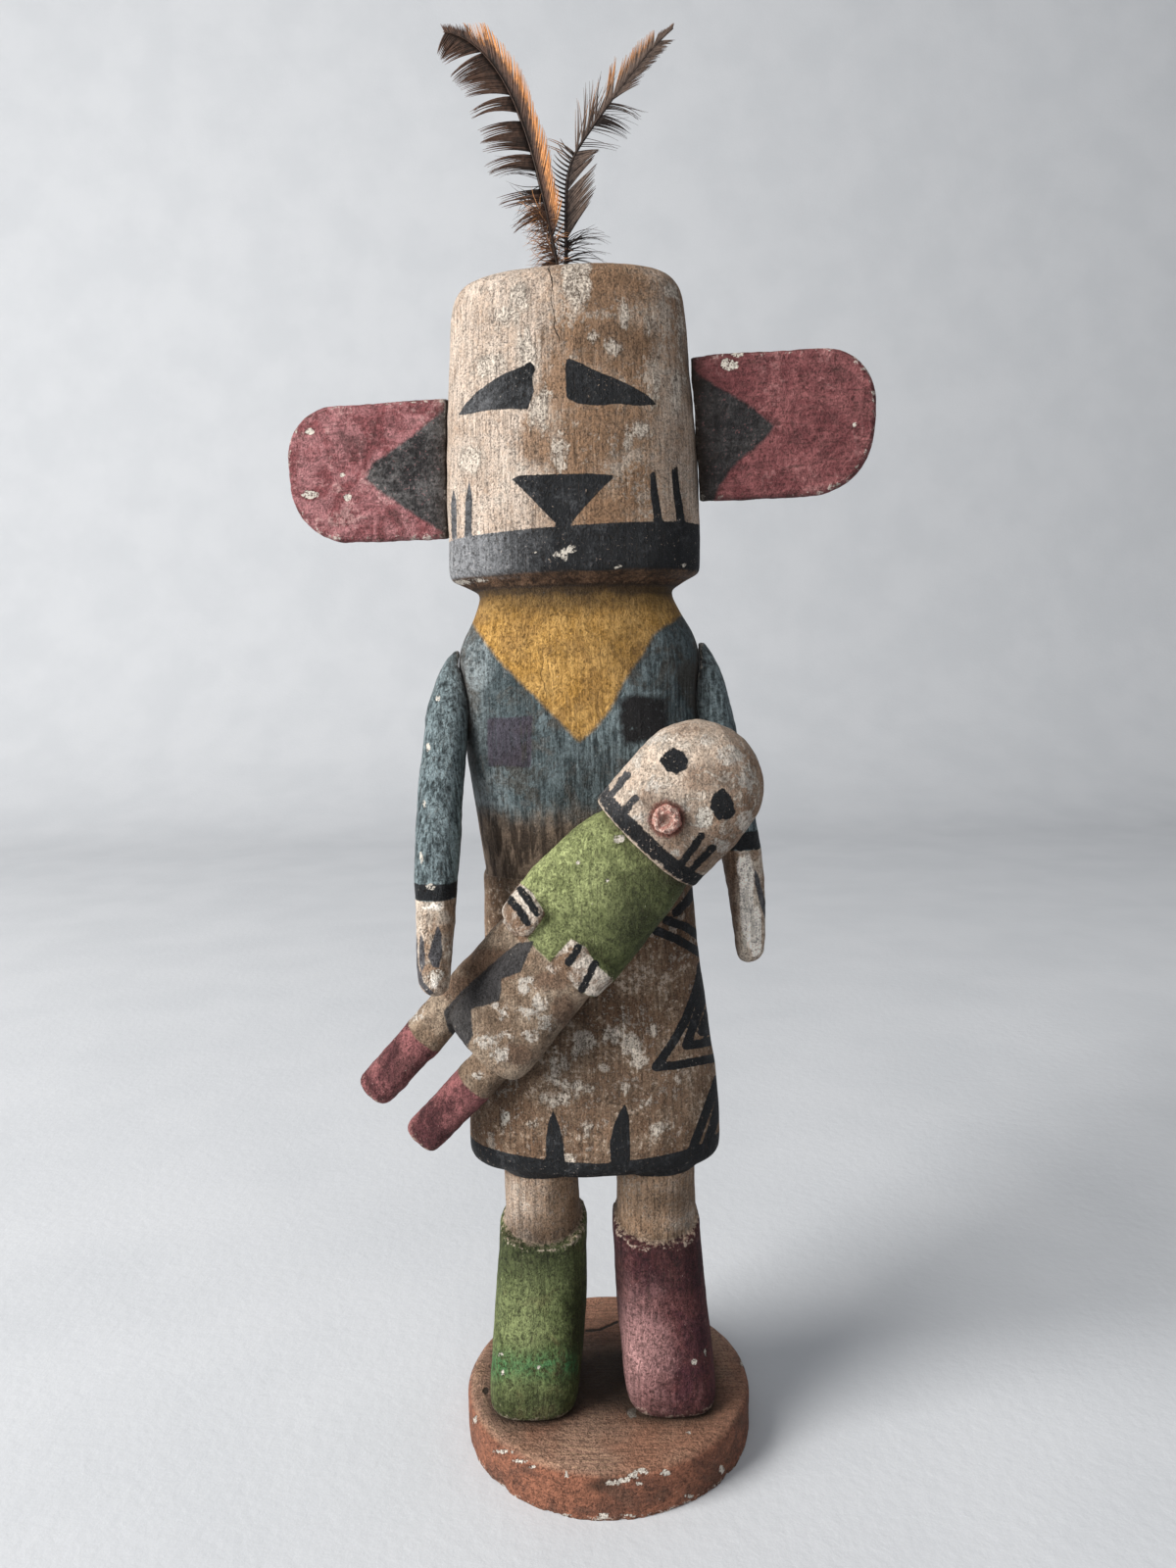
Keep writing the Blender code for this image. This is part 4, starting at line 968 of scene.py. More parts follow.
def plinth_finish():
    f = WoodFinish("terracotta_over_gesso", level=True)
    apart = f.put("ShaderNodeSeparateXYZ", {0: f.place}).outputs
    radius = f.math("SQRT", f.add(f.times(apart[0], apart[0]), f.times(apart[1], apart[1])))
    wobble = f.swing(f.blotch, 0.006)
    turn = f.math("ARCTAN2", apart[1], apart[0])
    along_arcs = {0: f.times(f.add(radius, wobble), 900), 1: f.times(turn, 3.0)}
    arcs = f.noise(1, 3, 0.6, at=f.put("ShaderNodeCombineXYZ", along_arcs).outputs[0])
    top = f.rise(apart[2], 0.0165, 0.0190)
    side = f.mix(f.rise(f.patch, 0.44, 0.60), TERRACOTTA, DARK_TERRACOTTA)
    upper = f.mix(f.rise(arcs, 0.40, 0.66), PLINTH_BROWN, DUSTY_BROWN)
    upper = f.mix(f.rise(f.blotch, 0.42, 0.64), upper, PLINTH_RED)
    colour = f.mix(top, side, upper)
    colour = f.mix(f.rise(f.patch, 0.53, 0.64, 0.45), colour, PLINTH_DARK)
    rim = f.rise(f.add(f.value("worn"), f.swing(f.coarse, 2.0)), 0.50, 0.80)
    colour = f.mix(f.times(rim, 0.30), colour, PLINTH_RIM)
    colour, dark = f.grained(colour, 0.8)
    chips = f.chipped(1.7, 0.12, 500, 0.42)
    low_rim = f.times(f.rise(apart[2], 0.0022, 0.0006), f.rise(f.add(f.coarse, f.speckle), 1.08, 1.14))
    flecks = f.rise(f.fleck, 0.99, 1.02)
    colour = f.mix(f.either(f.either(chips, low_rim), f.times(flecks, 0.7)), colour, GESSO)
    # Dirt, a smudge, and painted shade where the boots stand and between them
    dirt_and_shade = f.capped(f.times(f.value("dirt_and_contact_shade"), f.add(0.8, f.coarse)), f.value("smudge"))
    crack = f.edge("crack", 0.4, 0.2, 500)
    colour = f.mix(f.either(f.times(dirt_and_shade, 0.93), crack), colour, DIRT_AND_SHADE)
    roughness = f.add(0.74, f.swing(f.speckle, 0.3))
    height = f.surface(dark, f.times(arcs, 0.5), f.times(chips, -0.6), f.times(crack, -1.0))
    return f.done(colour, roughness, height, 0.0016)


def snout_finish():
    f = WoodFinish("broken_raw_wood")
    colour = f.mix(f.rise(f.speckle, 0.42, 0.58), TORN_RED, TORN_PALE)
    colour = f.mix(f.value("core"), colour, TORN_CORE)
    colour = f.mix(f.rise(f.grain, 0.50, 0.56, 0.8), colour, TORN_DARK)
    colour = f.mix(f.value("red"), colour, RED)
    height = f.add(f.speckle, f.times(f.grit, 0.6), f.noise(900, 3, 0.6))
    return f.done(colour, f.add(0.8, f.times(f.grit, 0.1)), height, 0.0014)


def feather_finish(name, low_tone, mid_tone, high_tone):
    """Barbs run from dark at the shaft to rusty or pale, by the tone that each one keeps."""
    f = Finish(name)
    tone = f.add(f.value("tone"), f.swing(f.noise(700, 3), 0.5))
    colour = f.mix(f.rise(tone, 0.05, 0.45), low_tone, mid_tone)
    colour = f.mix(f.rise(tone, 0.50, 0.90), colour, high_tone)
    height = f.noise(2500, 2)
    return f.done(colour, f.add(0.55, f.times(tone, 0.2)), height, 0.0001, 0.4)


# Pieces

def seen(piece):
    """A piece's points, their normals, and where the points show in the photograph."""
    points = points_of(piece)
    return points, normals_of(piece), seen_at(points)


def painted_front(values, normals):
    """Paint seen on the front isn't carried through to the back."""
    return np.where(normals[:, 1] < 0.2, values, OUTSIDE)


def make_plinth():
    piece = work_up("plinth_board", "plinth", *PLINTH_WORK)
    # The underside stays flat, and nothing stands out of the board's own box
    low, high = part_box("plinth")
    points = np.clip(points_of(piece), np.array(low), np.array(high))
    points[points[:, 2] < PLINTH_FLAT_LEVEL, 2] = 0.0
    move_points(piece, points)
    points, normals, places = seen(piece)
    front = points[:, 1] < PLINTH_FRONT_Y
    top = normals[:, 2] > 0.5
    touch = contact_of(piece, "figure", reach=0.0035)
    keep(piece, "worn", np.clip(relief_of(piece) * 1.1, 0, 1))
    keep(piece, "chips", np.where(front, in_chips(places, PLINTH_CHIPS), OUTSIDE))
    # Painted shade with dirt where the figure stands and between the boots
    keep(piece, "dirt_and_contact_shade", np.clip(0.85 * touch + 0.95 * soft_oval(points, BETWEEN_BOOTS) * top, 0, 1))
    keep(piece, "smudge", np.where(front, soft_oval(places, PLINTH_SMUDGE) * 0.8, 0))
    crack = along(places, PLINTH_CRACK, PLINTH_CRACK_HALF_MM)
    keep(piece, "crack", np.where(top, np.maximum(crack, in_chips(places, PLINTH_HOLES)), OUTSIDE))
    finish_piece(piece, plinth_finish(), "terracotta_paint", "plinth")


def paint_marks(piece, points, normals, places):
    """The figure's black paint: the mask's band and marks, and the skirt's hem, spikes and lines."""
    off_middle = points[:, 0] - FIGURE_MIDDLE
    z = points[:, 2]
    band = np.minimum(BAND_TOP_LEVEL + BAND_SLOPE * off_middle - z, z - BAND_LOW_LEVEL) * 1000
    hem_top = HEM_LEVEL + HEM_BAND + HEM_BAND_RISE * np.abs(off_middle)
    hem = np.minimum(hem_top - z, z - HEM_LOW_LEVEL) * 1000
    drawn = [inside(places, shape) for shape in (RIGHT_EYE, LEFT_EYE, MOUTH, *CHEEK_STRIPES, *HEM_SPIKES)]
    drawn += [along(places, line, SKIRT_LINE_HALF_MM) for line in SKIRT_LINES]
    marks = painted_front(np.max(drawn, axis=0), normals)
    keep(piece, "marks", np.maximum(marks, np.maximum(band, hem)))
    # The black paint greyed by dust and a painted sheen on the lit side
    greyed = ramp(-off_middle, *DUST_AND_SHEEN_SIDE) ** 1.3 * (z > NECK_LEVEL)
    keep(piece, "greyed", greyed * np.where(band > -1.0, 1, 0.4))


def paint_clothes(piece, points, normals, places):
    """Where the figure's shirt, scarf, skirt and boots lie, where the shirt is painted paler on its lit
    side, and where the boots are lighter on the shin.
    """
    x, y, z = points.T
    px, py = places.T
    cuff = CUFF_LEVEL - CUFF_DIP * ramp(CUFF_MIDDLE_Y - y, 0, CUFF_REACH) ** 1.5
    keep(piece, "boots", (cuff - z) * 1000)
    keep(piece, "side", x - FIGURE_MIDDLE)
    keep(piece, "skirt", np.minimum(z - SKIRT_LOW_LEVEL, WAIST_LEVEL - z) * 1000)
    keep(piece, "torso", np.minimum(z - WAIST_LEVEL, SHIRT_TOP_LEVEL - z) * 1000)
    keep(piece, "blue", (z - BLUE_LOW_LEVEL) * 1000)
    # Painted highlight: the shirt paler toward its lit side
    keep(piece, "painted_lit_side", ramp(px, *LIT_SHIRT_SIDE) * 0.85)
    scarf = np.where(normals[:, 1] < 0.0, inside(places, SCARF), (z - YOKE_LEVEL) * 1000)
    keep(piece, "scarf", blur(piece, scarf, 3))
    keep(piece, "violet", painted_front(inside(places, VIOLET_PATCH), normals))
    keep(piece, "dark_patch", painted_front(inside(places, DARK_PATCH), normals))
    browned = 0.22 + 0.70 * ramp(px, *BROWNED_MASK) - 0.45 * ramp(px, *PALER_MASK)
    keep(piece, "tan", np.clip(browned + 0.35 * (z < HEM_LEVEL), 0, 1))
    keep(piece, "emerald", np.exp(-((py - EMERALD_ROW) / EMERALD_HALF) ** 2) * (px < BETWEEN_BOOTS_X))
    # Each boot lighter in a soft oval on its shin and instep
    shin_lighter = soft_oval(places, PLUM_SHIN) + soft_oval(places, GREEN_SHIN)
    keep(piece, "shin_lighter", shin_lighter * (normals[:, 1] < 0))


def paint_wear(piece, points, normals, places):
    """The mask's dark underside, and the figure's worn edges, dirt, painted shade where pieces meet, cracks
    and chips.
    """
    x = points[:, 0]
    z = points[:, 2]
    px, py = places.T
    rim = (z > NECK_LEVEL - 0.001) & (z < RIM_LEVEL + 0.003)
    under = ramp(-normals[:, 2], 0.60, 0.75) * rim
    keep(piece, "underside", np.maximum(under, (z > NECK_LEVEL + 0.0006) & (z < RIM_LEVEL - 0.0006)))
    relief = relief_of(piece)
    keep(piece, "worn", np.clip(relief * 0.75, 0, 1) * np.where(np.abs(z - RIM_LEVEL) < 0.004, 0.45, 1))
    keep(piece, "hollow", np.clip(-relief * 0.9 - 0.10, 0, 1))
    # Painted shade with dirt where other pieces touch, under the mask, between the legs and at the waist
    touch = contact_of(piece, "plinth", "ear_right", "ear_left", "arm_right", "arm_left", "child")
    neck = np.exp(-np.abs(z - NECK_LEVEL) / 0.006) * (z <= NECK_LEVEL + 0.002)
    inner_legs = np.exp(-np.abs(x - LEGS_MIDDLE) / 0.004) * (z < HEM_LEVEL)
    waist = np.exp(-np.abs(z - WAIST_LEVEL) / 0.004) * 0.5
    keep(piece, "dirt_and_contact_shade", np.clip(0.75 * touch + 0.8 * neck + 0.45 * inner_legs + waist, 0, 1))
    on_mask = z > NECK_LEVEL
    crack_x = np.where(on_mask, MASK_CRACK_X + (py - MASK_CRACK_TOP) * MASK_CRACK_LEAN, SHIRT_CRACK_X)
    keep(piece, "crack", (px - crack_x) * MM_PER_PX)
    mask_crack = (py < MASK_CRACK_END) * on_mask
    shirt_crack = (py > SHIRT_CRACK_TOP) * (py < SHIRT_CRACK_END) * (z < NECK_LEVEL) * 0.4
    keep(piece, "cracked", np.where(normals[:, 1] < 0, mask_crack + shirt_crack, 0))
    keep(piece, "chips", painted_front(in_chips(places, MASK_CHIPS + BOOT_CHIPS), normals))


def keep_patches(piece, places, normals, pale, brown, painted_shade):
    """Where the pale ground shows, where brown is rubbed in, and where shade and shadow are painted on."""
    keep(piece, "pale", in_patches(places, pale, normals))
    keep(piece, "brown", in_patches(places, brown, normals))
    keep(piece, "painted_shade", clouded(places, painted_shade, normals))


def make_figure():
    piece = work_up("carved_figure", "figure", *FIGURE_WORK)
    points = points_of(piece)
    points[:, 2] = np.clip(points[:, 2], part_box("figure")[0].z, None)
    move_points(piece, points)
    points, normals, places = seen(piece)
    paint_marks(piece, points, normals, places)
    paint_clothes(piece, points, normals, places)
    paint_wear(piece, points, normals, places)
    keep_patches(piece, places, normals, PALE_PATCHES, BROWN_PATCHES, PAINTED_SHADE)
    finish_piece(piece, figure_finish(), "figure_paint", "figure")


def make_ears():
    # The doll's left ear lies in the mask's shadow: its colours are shaded copies, painted shade
    sides = {"right": (RIGHT_EAR_MARK, board_finish("rose_board_paint", MAROON, ROSE, 0.5)),
             "left": (LEFT_EAR_MARK, board_finish("shaded_maroon_board_paint", SHADED_MAROON, SHADED_ROSE, 0.15))}
    for side, (mark, material) in sides.items():
        node = "ear_" + side
        piece = work_up("ear_board_" + side, node, *EAR_WORK)
        points, normals, places = seen(piece)
        keep(piece, "marks", painted_front(inside(places, mark), normals))
        keep(piece, "worn", np.clip(relief_of(piece, 30) * 1.6, 0, 1))
        # Painted shade with dirt where the ear meets the mask
        keep(piece, "dirt_and_contact_shade", contact_of(piece, "figure"))
        keep(piece, "chips", painted_front(in_chips(places, EAR_CHIPS), normals))
        finish_piece(piece, material, "maroon_paint", node)


def make_arms():
    """Arms in blue sleeves, each with a black cuff between two levels and strokes on its hand."""
    material = arm_finish()
    sides = {"right": (RIGHT_CUFF, RIGHT_HAND_STROKES, RIGHT_HAND_BROWN, 0.5),
             "left": (LEFT_CUFF, LEFT_HAND_STROKES, LEFT_HAND_BROWN, 1.0)}
    for side, ((low, high), strokes, brown_side, brown) in sides.items():
        node = "arm_" + side
        piece = work_up("arm_carved_" + side, node, *ARM_WORK)
        points, normals, places = seen(piece)
        z = points[:, 2]
        keep(piece, "cuff", np.minimum(z - low, high - z) * 1000)
        keep(piece, "hand", (low - z) * 1000)
        stripes = np.max([inside(places, stroke) for stroke in strokes], axis=0)
        keep(piece, "stripes", painted_front(stripes, normals))
        keep(piece, "chips", painted_front(in_chips(places, ARM_CHIPS), normals))
        keep(piece, "brown_side", ramp(places[:, 0], *brown_side) * brown)
        # Painted highlights along the hands' ridges
        keep(piece, "ridge", clouded(places, HAND_PAINTED_HIGHLIGHTS, normals))
        keep(piece, "worn", np.clip(relief_of(piece, 30) * 1.1, 0, 1))
        # Painted shade with dirt where the arm meets the body
        keep(piece, "dirt_and_contact_shade", contact_of(piece, "figure") * 0.9)
        finish_piece(piece, material, "sleeve_paint", node)


def child_axes():
    """The child's own directions: up its axis, across to its right hand, and out of its front."""
    up = Vector((math.cos(CHILD_TILT), 0, math.sin(CHILD_TILT)))
    across = Vector((-math.sin(CHILD_TILT), 0, math.cos(CHILD_TILT)))
    front = Vector((0, -1, 0))
    up, front = (up * math.cos(CHILD_LEAN) + front * math.sin(CHILD_LEAN),
                 front * math.cos(CHILD_LEAN) - up * math.sin(CHILD_LEAN))
    across, front = (across * math.cos(CHILD_ROLL) - front * math.sin(CHILD_ROLL),
                     front * math.cos(CHILD_ROLL) + across * math.sin(CHILD_ROLL))
    return np.array([up, across, front])


def on_child(points):
    """Places in the child's own directions, in millimetres from the back of its neck."""
    return ((points - np.array(CHILD_NECK)) @ child_axes().T * 1000).T


def make_child():
    piece = work_up("child_doll", "child", *CHILD_WORK)
    points, normals, places = seen(piece)
    px, py = places.T
    up = on_child(points)[0]
    front = (normals @ child_axes().T)[:, 2] > -0.2

    def on_front(values):
        return np.where(front, values, OUTSIDE)

    drawn = [inside(places, eye) for eye in (CHILD_RIGHT_EYE, CHILD_LEFT_EYE)]
    drawn += [along(places, line, CHILD_LINE_HALF_MM) for line in CHILD_FACE_LINES + CHILD_WRIST_LINES]
    rim_band = np.minimum(up - CHILD_BAND[0], CHILD_BAND[1] - up)
    keep(piece, "marks", np.maximum(on_front(np.max(drawn, axis=0)), rim_band))
    keep(piece, "greyed", ramp(py, *CHILD_GREYED_ROWS) * (px < CHILD_GREYED_EDGE))
    keep(piece, "shirt", np.minimum(-up, up + CHILD_SHIRT_MM))
    # Painted shade on the shirt, rising toward its lower right
    keep(piece, "deep", np.clip(slanted(places, CHILD_SHADE_SLOPE), 0, 1))
    hands = np.maximum(inside(places, CHILD_RIGHT_HAND), inside(places, CHILD_LEFT_HAND))
    keep(piece, "hands", on_front(hands))
    keep(piece, "legs", -CHILD_SHIRT_MM - up)
    keep_patches(piece, places, normals, CHILD_PALE_PATCHES, CHILD_BROWN_PATCHES, CHILD_PAINTED_SHADE)
    keep(piece, "boots", -CHILD_BOOT_MM - up)
    keep(piece, "slate", on_front(inside(places, KILT_STEPS)))
    keep(piece, "tan", np.clip(0.25 + slanted(places, CHILD_TAN_SLOPE), 0.1, 0.95))
    ring = CHILD_RING_MM - np.hypot(px - SNOUT_PLACE[0], py - SNOUT_PLACE[1]) * CHILD_MM_PER_PX
    keep(piece, "red_ring", on_front(ring))
    relief = relief_of(piece, 30)
    keep(piece, "worn", np.clip(relief * 0.8, 0, 1))
    keep(piece, "hollow", np.clip(-relief * 0.9 - 0.08, 0, 1))
    # Painted shade with dirt where the child touches other pieces and under its head
    touch = contact_of(piece, "figure", "arm_right", "child_snout")
    under_head = np.exp(-np.abs(up + 1.5) / 2.5) * (up < 0)
    keep(piece, "dirt_and_contact_shade", np.clip(0.7 * touch + 0.7 * under_head, 0, 1))
    keep(piece, "chips", on_front(in_chips(places, CHILD_CHIPS)))
    finish_piece(piece, child_finish(), "child_paint", "child")


def make_snout():
    """A stub broken off short: its end is torn, with a ridge round a sunk middle."""
    piece = work_up("snout_stub", "child_snout", *SNOUT_WORK)
    points = points_of(piece)
    up, across, out = on_child(points)
    far = np.hypot(up - SNOUT_UP_MM, across)
    sunk = np.exp(-(far / 2.2) ** 2) * ramp(out, SNOUT_END_MM, SNOUT_END_MM + 1.5)
    points -= child_axes()[2] * (SNOUT_SUNK * sunk)[:, None]
    move_points(piece, points)
    keep(piece, "core", np.clip(sunk * 1.2, 0, 1) * 0.75)
    keep(piece, "red", ramp(out, SNOUT_END_MM + 0.5, SNOUT_END_MM - 1.5) * 0.7)
    finish_piece(piece, snout_finish(), "raw_wood", "child_snout")


# Feathers

class Feather:
    """Barbs and a shaft, gathered into one mesh. Each point keeps a tone, from dark to rusty or pale."""

    def __init__(self, node, heading, length):
        low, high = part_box(node)
        self.points = []
        self.faces = []
        self.tones = []
        self.random = random.Random(SEED + len(node))
        self.steps = 60
        self.length = length
        self.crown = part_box("figure")[1].z
        self.depth = (low.y + high.y) / 2
        point = Vector((FEATHER_ROOTS[node], self.depth, self.crown + FEATHER_FOOT))
        self.spine = [point.copy()]
        self.turns = [math.radians(heading(0))]
        for i in range(1, self.steps + 1):
            turn = math.radians(heading(i / self.steps))
            point = point + Vector((math.sin(turn), 0, math.cos(turn))) * (length / self.steps)
            self.spine.append(point.copy())
            self.turns.append(turn)

    def at(self, share):
        """A place on the shaft, and the shaft's turn there from upright."""
        step = min(max(share, 0.0), 0.9999) * self.steps
        i = int(step)
        t = step - i
        return self.spine[i].lerp(self.spine[i + 1], t), self.turns[i] * (1 - t) + self.turns[i + 1] * t

    def strand(self, path, width, tone_root, tone_tip, thickness=0.00012):
        """A thin tapering three-sided strand along a path."""
        first = len(self.points)
        last = len(path) - 1
        for i, point in enumerate(path):
            share = i / last
            run = (path[min(i + 1, last)] - path[max(i - 1, 0)]).normalized()
            side = run.cross(Vector((0, 1, 0))).normalized()
            half = width / 2 * (1 - 0.85 * share ** 1.5)
            deep = max(thickness * (1 - 0.6 * share), THINNEST)
            back = Vector((0, deep, 0))
            self.points += [point - side * half + back, point + side * half + back, point - back]
            self.tones += [tone_root + (tone_tip - tone_root) * share] * 3
        for i in range(last):
            a = first + 3 * i
            for j in range(3):
                k = (j + 1) % 3
                self.faces.append((a + j, a + k, a + 3 + k, a + 3 + j))
        self.faces.append((first + 2, first + 1, first))
        end = first + 3 * last
        self.faces.append((end, end + 1, end + 2))

    def barb(self, share, side, reach, lift, droop, width, tone_root, tone_tip, steps=5, depth=0.0):
        """One barb, which leaves the shaft at an angle and bends away. side is -1 for the doll's right."""
        root, turn = self.at(share)
        path = []
        for i in range(steps + 1):
            t = i / steps
            angle = turn + side * (lift + droop * t)
            if i:
                path.append(path[-1] + Vector((math.sin(angle), 0, math.cos(angle))) * (reach / steps)
                            + Vector((0, depth / steps, 0)))
            else:
                path.append(root.copy())
        self.strand(path, width, tone_root, tone_tip)

    def web(self, start, end, side, reach, lift, droop, tones, step=0.00040, width=0.00066, draw=0.22,
            ragged=0.06, sweep=0.0):
        """Barbs that hold together as a flat web, drawn in towards its ragged tip.

        reach is the barbs' length where the web starts and where it ends, sweep how far they bend back."""
        count = max(int((end - start) * self.length / step), 3)
        middle = (start + end) / 2
        wave = self.random.uniform(0, 6)
        for i in range(count):
            t = i / (count - 1)
            share = start + (end - start) * t
            length = reach[0] + (reach[1] - reach[0]) * t
            length *= self.random.uniform(1 - 2 * ragged, 1 + ragged * 0.4)
            lean = draw * (middle - share) * self.length / length
            bend = 0.04 * math.sin(wave + 9 * t) + self.random.gauss(0, 0.012)
            tone = self.random.uniform(-0.10, 0.10)
            self.barb(share, side, length, lift - lean + bend, droop, width, tones[0] + tone,
                      tones[1] + tone, depth=sweep + self.random.uniform(-0.0003, 0.0003), steps=6)

    def wisps(self, start, end, side, reach, lift, droop, tones, count, width=0.00026, depth=0.001):
        """Loose single barbs. reach, lift and droop are ranges."""
        for _ in range(count):
            self.barb(self.random.uniform(start, end), side, self.random.uniform(*reach),
                      self.random.uniform(*lift), self.random.uniform(*droop), width,
                      tones[0], self.random.uniform(*tones), steps=8,
                      depth=self.random.uniform(-depth, depth))

    def finish(self, name, material, node):
        path = [Vector((self.spine[0].x, self.depth, self.crown - FEATHER_PLANTED))] + self.spine
        self.strand(path, SHAFT_WIDTH, 0.05, 0.30, thickness=SHAFT_DEPTH)
        highest = cad_box[1][2] - FEATHER_TOP_GAP
        mesh = bpy.data.meshes.new(name)
        mesh.from_pydata([(p.x, p.y, min(p.z, highest)) for p in self.points], [], self.faces)
        piece = bpy.data.objects.new(name, mesh)
        bpy.context.scene.collection.objects.link(piece)
        keep(piece, "tone", self.tones)
        finish_piece(piece, material, "feather", node)


def swept(share):
    """The right feather's heading in degrees from upright, along its shaft: it curves over to its right."""
    return -(10 + 26 * share ** 2 + 45 * share ** 6)


def make_right_feather():
    """The doll's right: a broad outer vane in drooping webs, and a narrow smooth rusty inner vane."""
    feather = Feather("feather_right", swept, 0.103)
    brown = (0.10, 0.46)
    webs = ((0.200, 0.240, (0.0145, 0.0160), 1.40, 0.75), (0.262, 0.305, (0.0170, 0.0180), 1.38, 0.30),
            (0.375, 0.430, (0.0195, 0.0190), 1.12, 0.65), (0.445, 0.555, (0.0185, 0.0175), 1.10, 0.50),
            (0.592, 0.650, (0.0180, 0.0172), 1.02, 0.66), (0.660, 0.835, (0.0170, 0.0158), 1.00, 0.52),
            (0.845, 0.990, (0.0150, 0.0090), 1.00, 0.40))
    for start, end, reach, lift, droop in webs:
        feather.web(start, end, -1, reach, lift, droop, brown, sweep=-0.0012)
    for start, end, reach, tones in ((0.13, 0.42, (0.0150, 0.0160), (0.20, 1.30)),
                                     (0.42, 0.80, (0.0160, 0.0165), (-0.05, 1.20))):
        feather.web(start, end, 1, reach, 0.50, -0.14, tones, step=0.00060, width=0.00080, draw=0.0,
                    ragged=0.04)
    feather.web(0.79, 0.88, 1, (0.0150, 0.0100), 0.36, 0.10, (0.10, 1.05), draw=0.1, ragged=0.25,
                width=0.00045)
    feather.web(0.88, 0.99, 1, (0.0070, 0.0035), 0.60, 0.25, brown, draw=0.0, ragged=0.12)
    feather.wisps(0.33, 0.41, -1, (0.012, 0.017), (0.85, 1.2), (0.3, 0.8), brown, 14)
    feather.wisps(0.17, 0.32, -1, (0.010, 0.015), (1.3, 1.8), (-1.6, 1.3), (0.05, 0.30), 22, 0.00034)
    down = (0.40, 1.05)
    feather.wisps(0.03, 0.25, -1, (0.006, 0.012), (0.7, 1.7), (-1.3, 1.6), down, 150, 0.00034, 0.004)
    feather.wisps(0.03, 0.22, 1, (0.004, 0.008), (0.6, 1.5), (-1.0, 1.3), down, 50, 0.00034, 0.004)
    feather.web(0.0, 0.05, -1, (0.0085, 0.0110), 1.50, 0.60, (0.15, 0.40), draw=0.2, ragged=0.2)
    material = feather_finish("brown_and_rust_feather", (0.018, 0.011, 0.008), (0.105, 0.058, 0.040),
                              (0.620, 0.285, 0.110))
    feather.finish("feather_barbs_right", material, "feather_right")


def bent(share):
    """The left feather's heading: upright at first, then bent over to its left."""
    t = min(max((share - 0.27) / 0.26, 0.0), 1.0)
    return 1.5 + 36 * t * t * (3 - 2 * t) + 14 * share ** 6


def make_left_feather():
    """The doll's left: a worn feather, broad and grey low on its left, in thin pointed webs above."""
    feather = Feather("feather_left", bent, 0.1045)
    grey = (0.12, 0.48)
    rusty = (0.25, 1.00)
    feather.web(0.13, 0.29, 1, (0.0170, 0.0165), 0.66, 0.12, grey, draw=0.15, sweep=-0.0010)
    feather.web(0.30, 0.44, 1, (0.0155, 0.0095), 0.72, 0.16, grey, draw=0.25, sweep=-0.0010)
    feather.web(0.10, 0.43, -1, (0.0060, 0.0085), 1.45, -0.55, (0.00, 0.40), step=0.00150, width=0.00085,
                draw=0.0)
    feather.web(0.405, 0.435, -1, (0.0125, 0.0135), 1.15, 0.55, (0.30, 1.1), step=0.00070, width=0.00055,
                draw=0.2)
    feather.web(0.60, 0.665, -1, (0.0175, 0.0165), 0.42, 0.12, rusty, draw=0.30, ragged=0.05)
    feather.web(0.67, 0.90, -1, (0.0150, 0.0075), 0.44, 0.10, rusty, step=0.00070, draw=0.12, ragged=0.07,
                width=0.00062)
    feather.web(0.90, 0.99, -1, (0.0060, 0.0030), 0.40, 0.0, (0.15, 0.60), draw=0.0)
    feather.web(0.665, 0.93, 1, (0.0115, 0.0060), 0.42, 0.22, grey, draw=0.10, ragged=0.12, sweep=-0.0006)
    feather.web(0.555, 0.600, 1, (0.0145, 0.0130), 0.98, 0.55, (0.02, 0.12), draw=0.30, width=0.00050)
    feather.web(0.625, 0.650, 1, (0.0150, 0.0140), 0.80, 0.80, (0.02, 0.25), draw=0.30, width=0.00040)
    feather.wisps(0.50, 0.66, 1, (0.009, 0.0155), (0.75, 1.15), (-0.1, 0.6), grey, 14)
    feather.web(0.465, 0.480, 1, (0.0165, 0.0150), 0.95, 0.30, (0.05, 0.30), draw=0.35, width=0.00034)
    feather.wisps(0.44, 0.58, -1, (0.014, 0.021), (0.25, 0.60), (-0.3, 0.25), (0.25, 1.05), 26, 0.00050)
    feather.web(0.50, 0.55, -1, (0.0110, 0.0125), 0.45, 0.05, rusty, step=0.0008, draw=0.25, width=0.00046)
    feather.wisps(0.04, 0.13, 1, (0.010, 0.019), (0.55, 1.3), (0.3, 1.3), (0.05, 0.40), 34, 0.00034, 0.003)
    feather.wisps(0.03, 0.13, -1, (0.005, 0.008), (0.9, 1.5), (-0.6, 1.0), (0.05, 0.60), 16, 0.00030, 0.003)
    material = feather_finish("grey_brown_feather", (0.018, 0.012, 0.010), (0.135, 0.095, 0.075),
                              (0.420, 0.200, 0.085))
    feather.finish("feather_barbs_left", material, "feather_left")


# Stage, camera and light

def add_area(name, place, target, size, power, colour=(1.0, 1.0, 1.0)):
    light = bpy.data.lights.new(name, "AREA")
    light.shape = "RECTANGLE"
    light.size = size[0]
    light.size_y = size[1]
    light.energy = power
    light.color = colour
    thing = bpy.data.objects.new(name, light)
    bpy.context.scene.collection.objects.link(thing)
    thing.location = place
    thing.rotation_euler = (Vector(target) - Vector(place)).to_track_quat("-Z", "Y").to_euler()


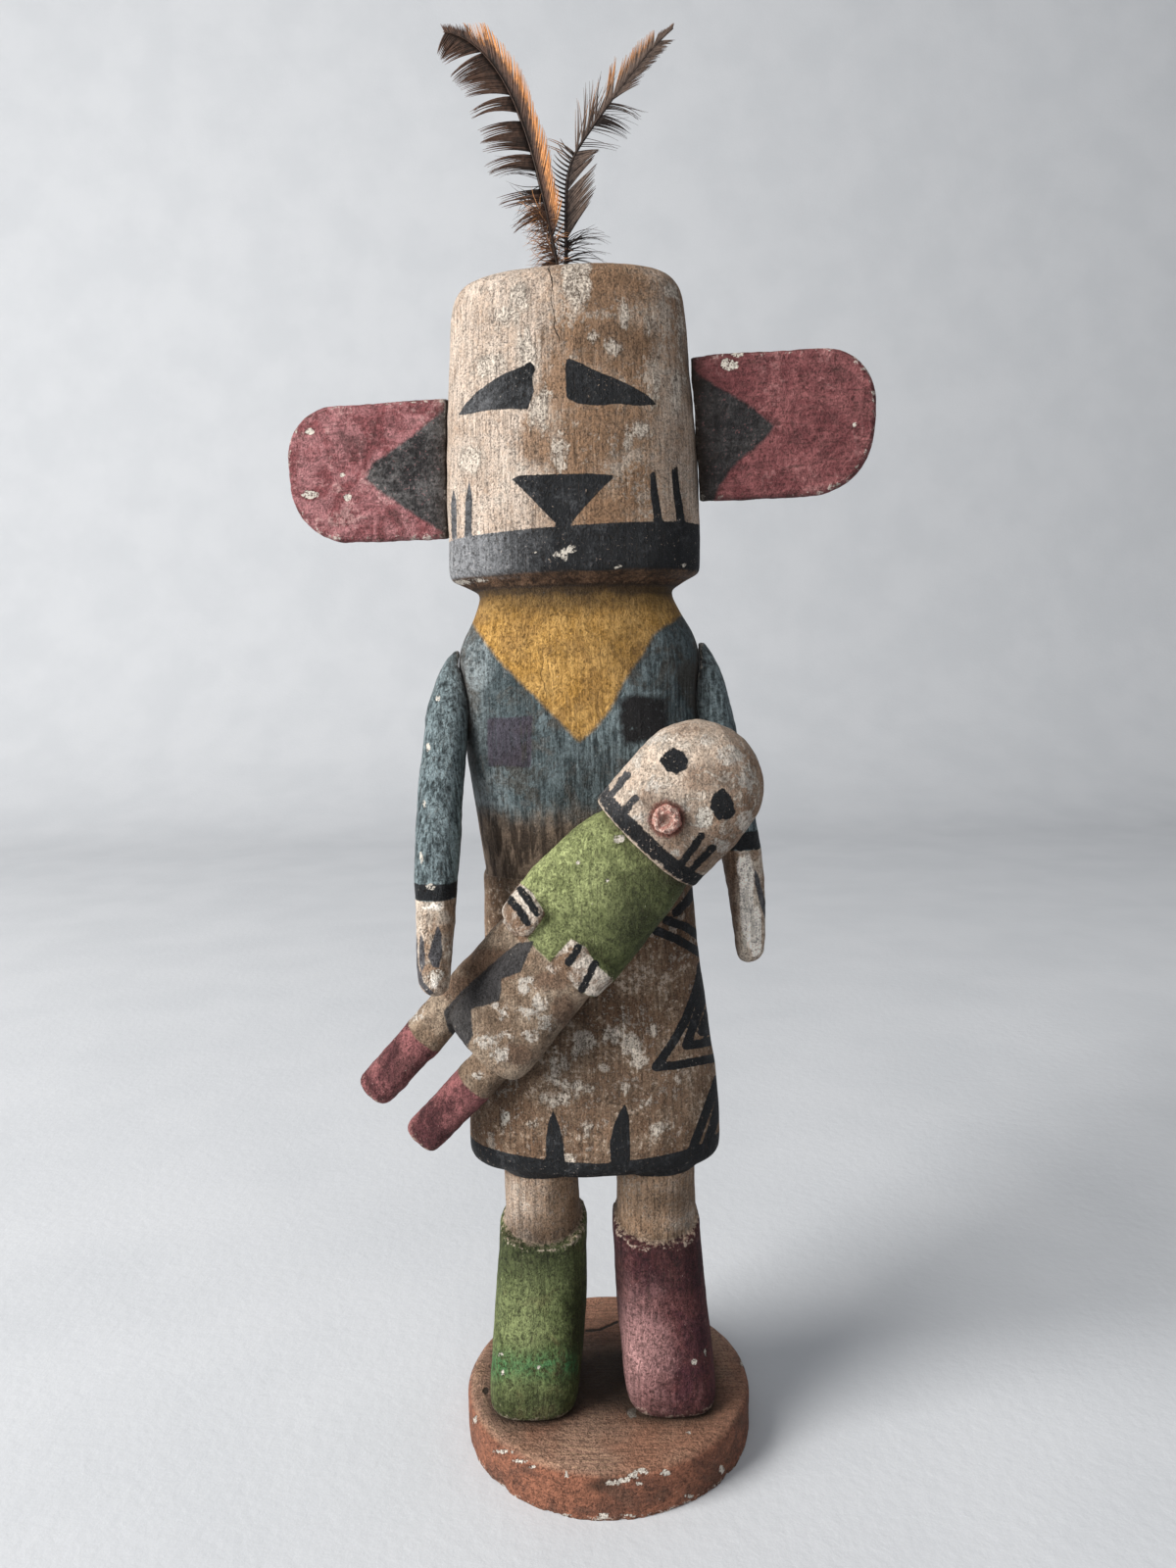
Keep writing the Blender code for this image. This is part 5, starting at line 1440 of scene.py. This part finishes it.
def make_stage():
    """A pale floor that sweeps up behind the doll into a pale backdrop."""
    sweep = bmesh.new()
    half = 3.5
    front = -2.6
    back = 2.2
    top = 3.2
    radius = 0.6
    line = [(front, 0.0), (back - radius, 0.0)]
    line += [(back - radius + radius * math.sin(a), radius - radius * math.cos(a))
             for a in (math.radians(10 * i) for i in range(1, 10))]
    line += [(back, top)]
    rows = [[sweep.verts.new((x, y, z)) for y, z in line] for x in (-half, half)]
    for i in range(len(line) - 1):
        sweep.faces.new((rows[0][i], rows[1][i], rows[1][i + 1], rows[0][i + 1]))
    mesh = bpy.data.meshes.new("backdrop")
    sweep.to_mesh(mesh)
    sweep.free()
    mesh.shade_smooth()
    floor = bpy.data.objects.new("backdrop", mesh)
    bpy.context.scene.collection.objects.link(floor)
    f = Finish("pale_backdrop")
    height = f.noise(160, 4, 0.6)
    colour = f.mix(f.rise(f.noise(9, 3), 0.3, 0.7), BACKDROP_GREY, BACKDROP_LIGHT)
    mesh.materials.append(f.done(colour, f.add(0.85, f.times(height, 0.05)), height, 0.0006, 0.5))


def make_light():
    world = bpy.data.worlds.new("soft_room")
    bpy.context.scene.world = world
    world.use_nodes = True
    room = world.node_tree.nodes["Background"].inputs
    room["Color"].default_value = (0.90, 0.94, 1.0, 1.0)
    room["Strength"].default_value = 0.34
    add_area("window", (-2.54, -1.30, 1.62), (0.0, 0.0, 0.28), (1.6, 2.4), 215, (1.0, 0.985, 0.96))
    add_area("front_fill", (0.15, -1.8, 1.15), (0.0, 0.0, 0.25), (1.2, 1.2), 7)
    bpy.context.scene.view_settings.view_transform = "Standard"


def make_camera():
    camera = bpy.data.cameras.new("camera")
    camera.sensor_fit = "VERTICAL"
    camera.sensor_height = 36
    camera.lens = FOCAL_PX / PHOTO_HEIGHT * 36
    camera.clip_start = 0.01
    thing = bpy.data.objects.new("camera", camera)
    bpy.context.scene.collection.objects.link(thing)
    thing.location = CAMERA_PLACE
    forward = Vector((0, math.cos(CAMERA_PITCH), -math.sin(CAMERA_PITCH)))
    turn = forward.to_track_quat("-Z", "Y").to_matrix()
    thing.rotation_euler = (turn @ Matrix.Rotation(CAMERA_ROLL, 3, "Z")).to_euler()
    bpy.context.scene.camera = thing


make_plinth()
make_figure()
make_ears()
make_arms()
make_child()
make_snout()
make_right_feather()
make_left_feather()
make_stage()
make_light()
make_camera()
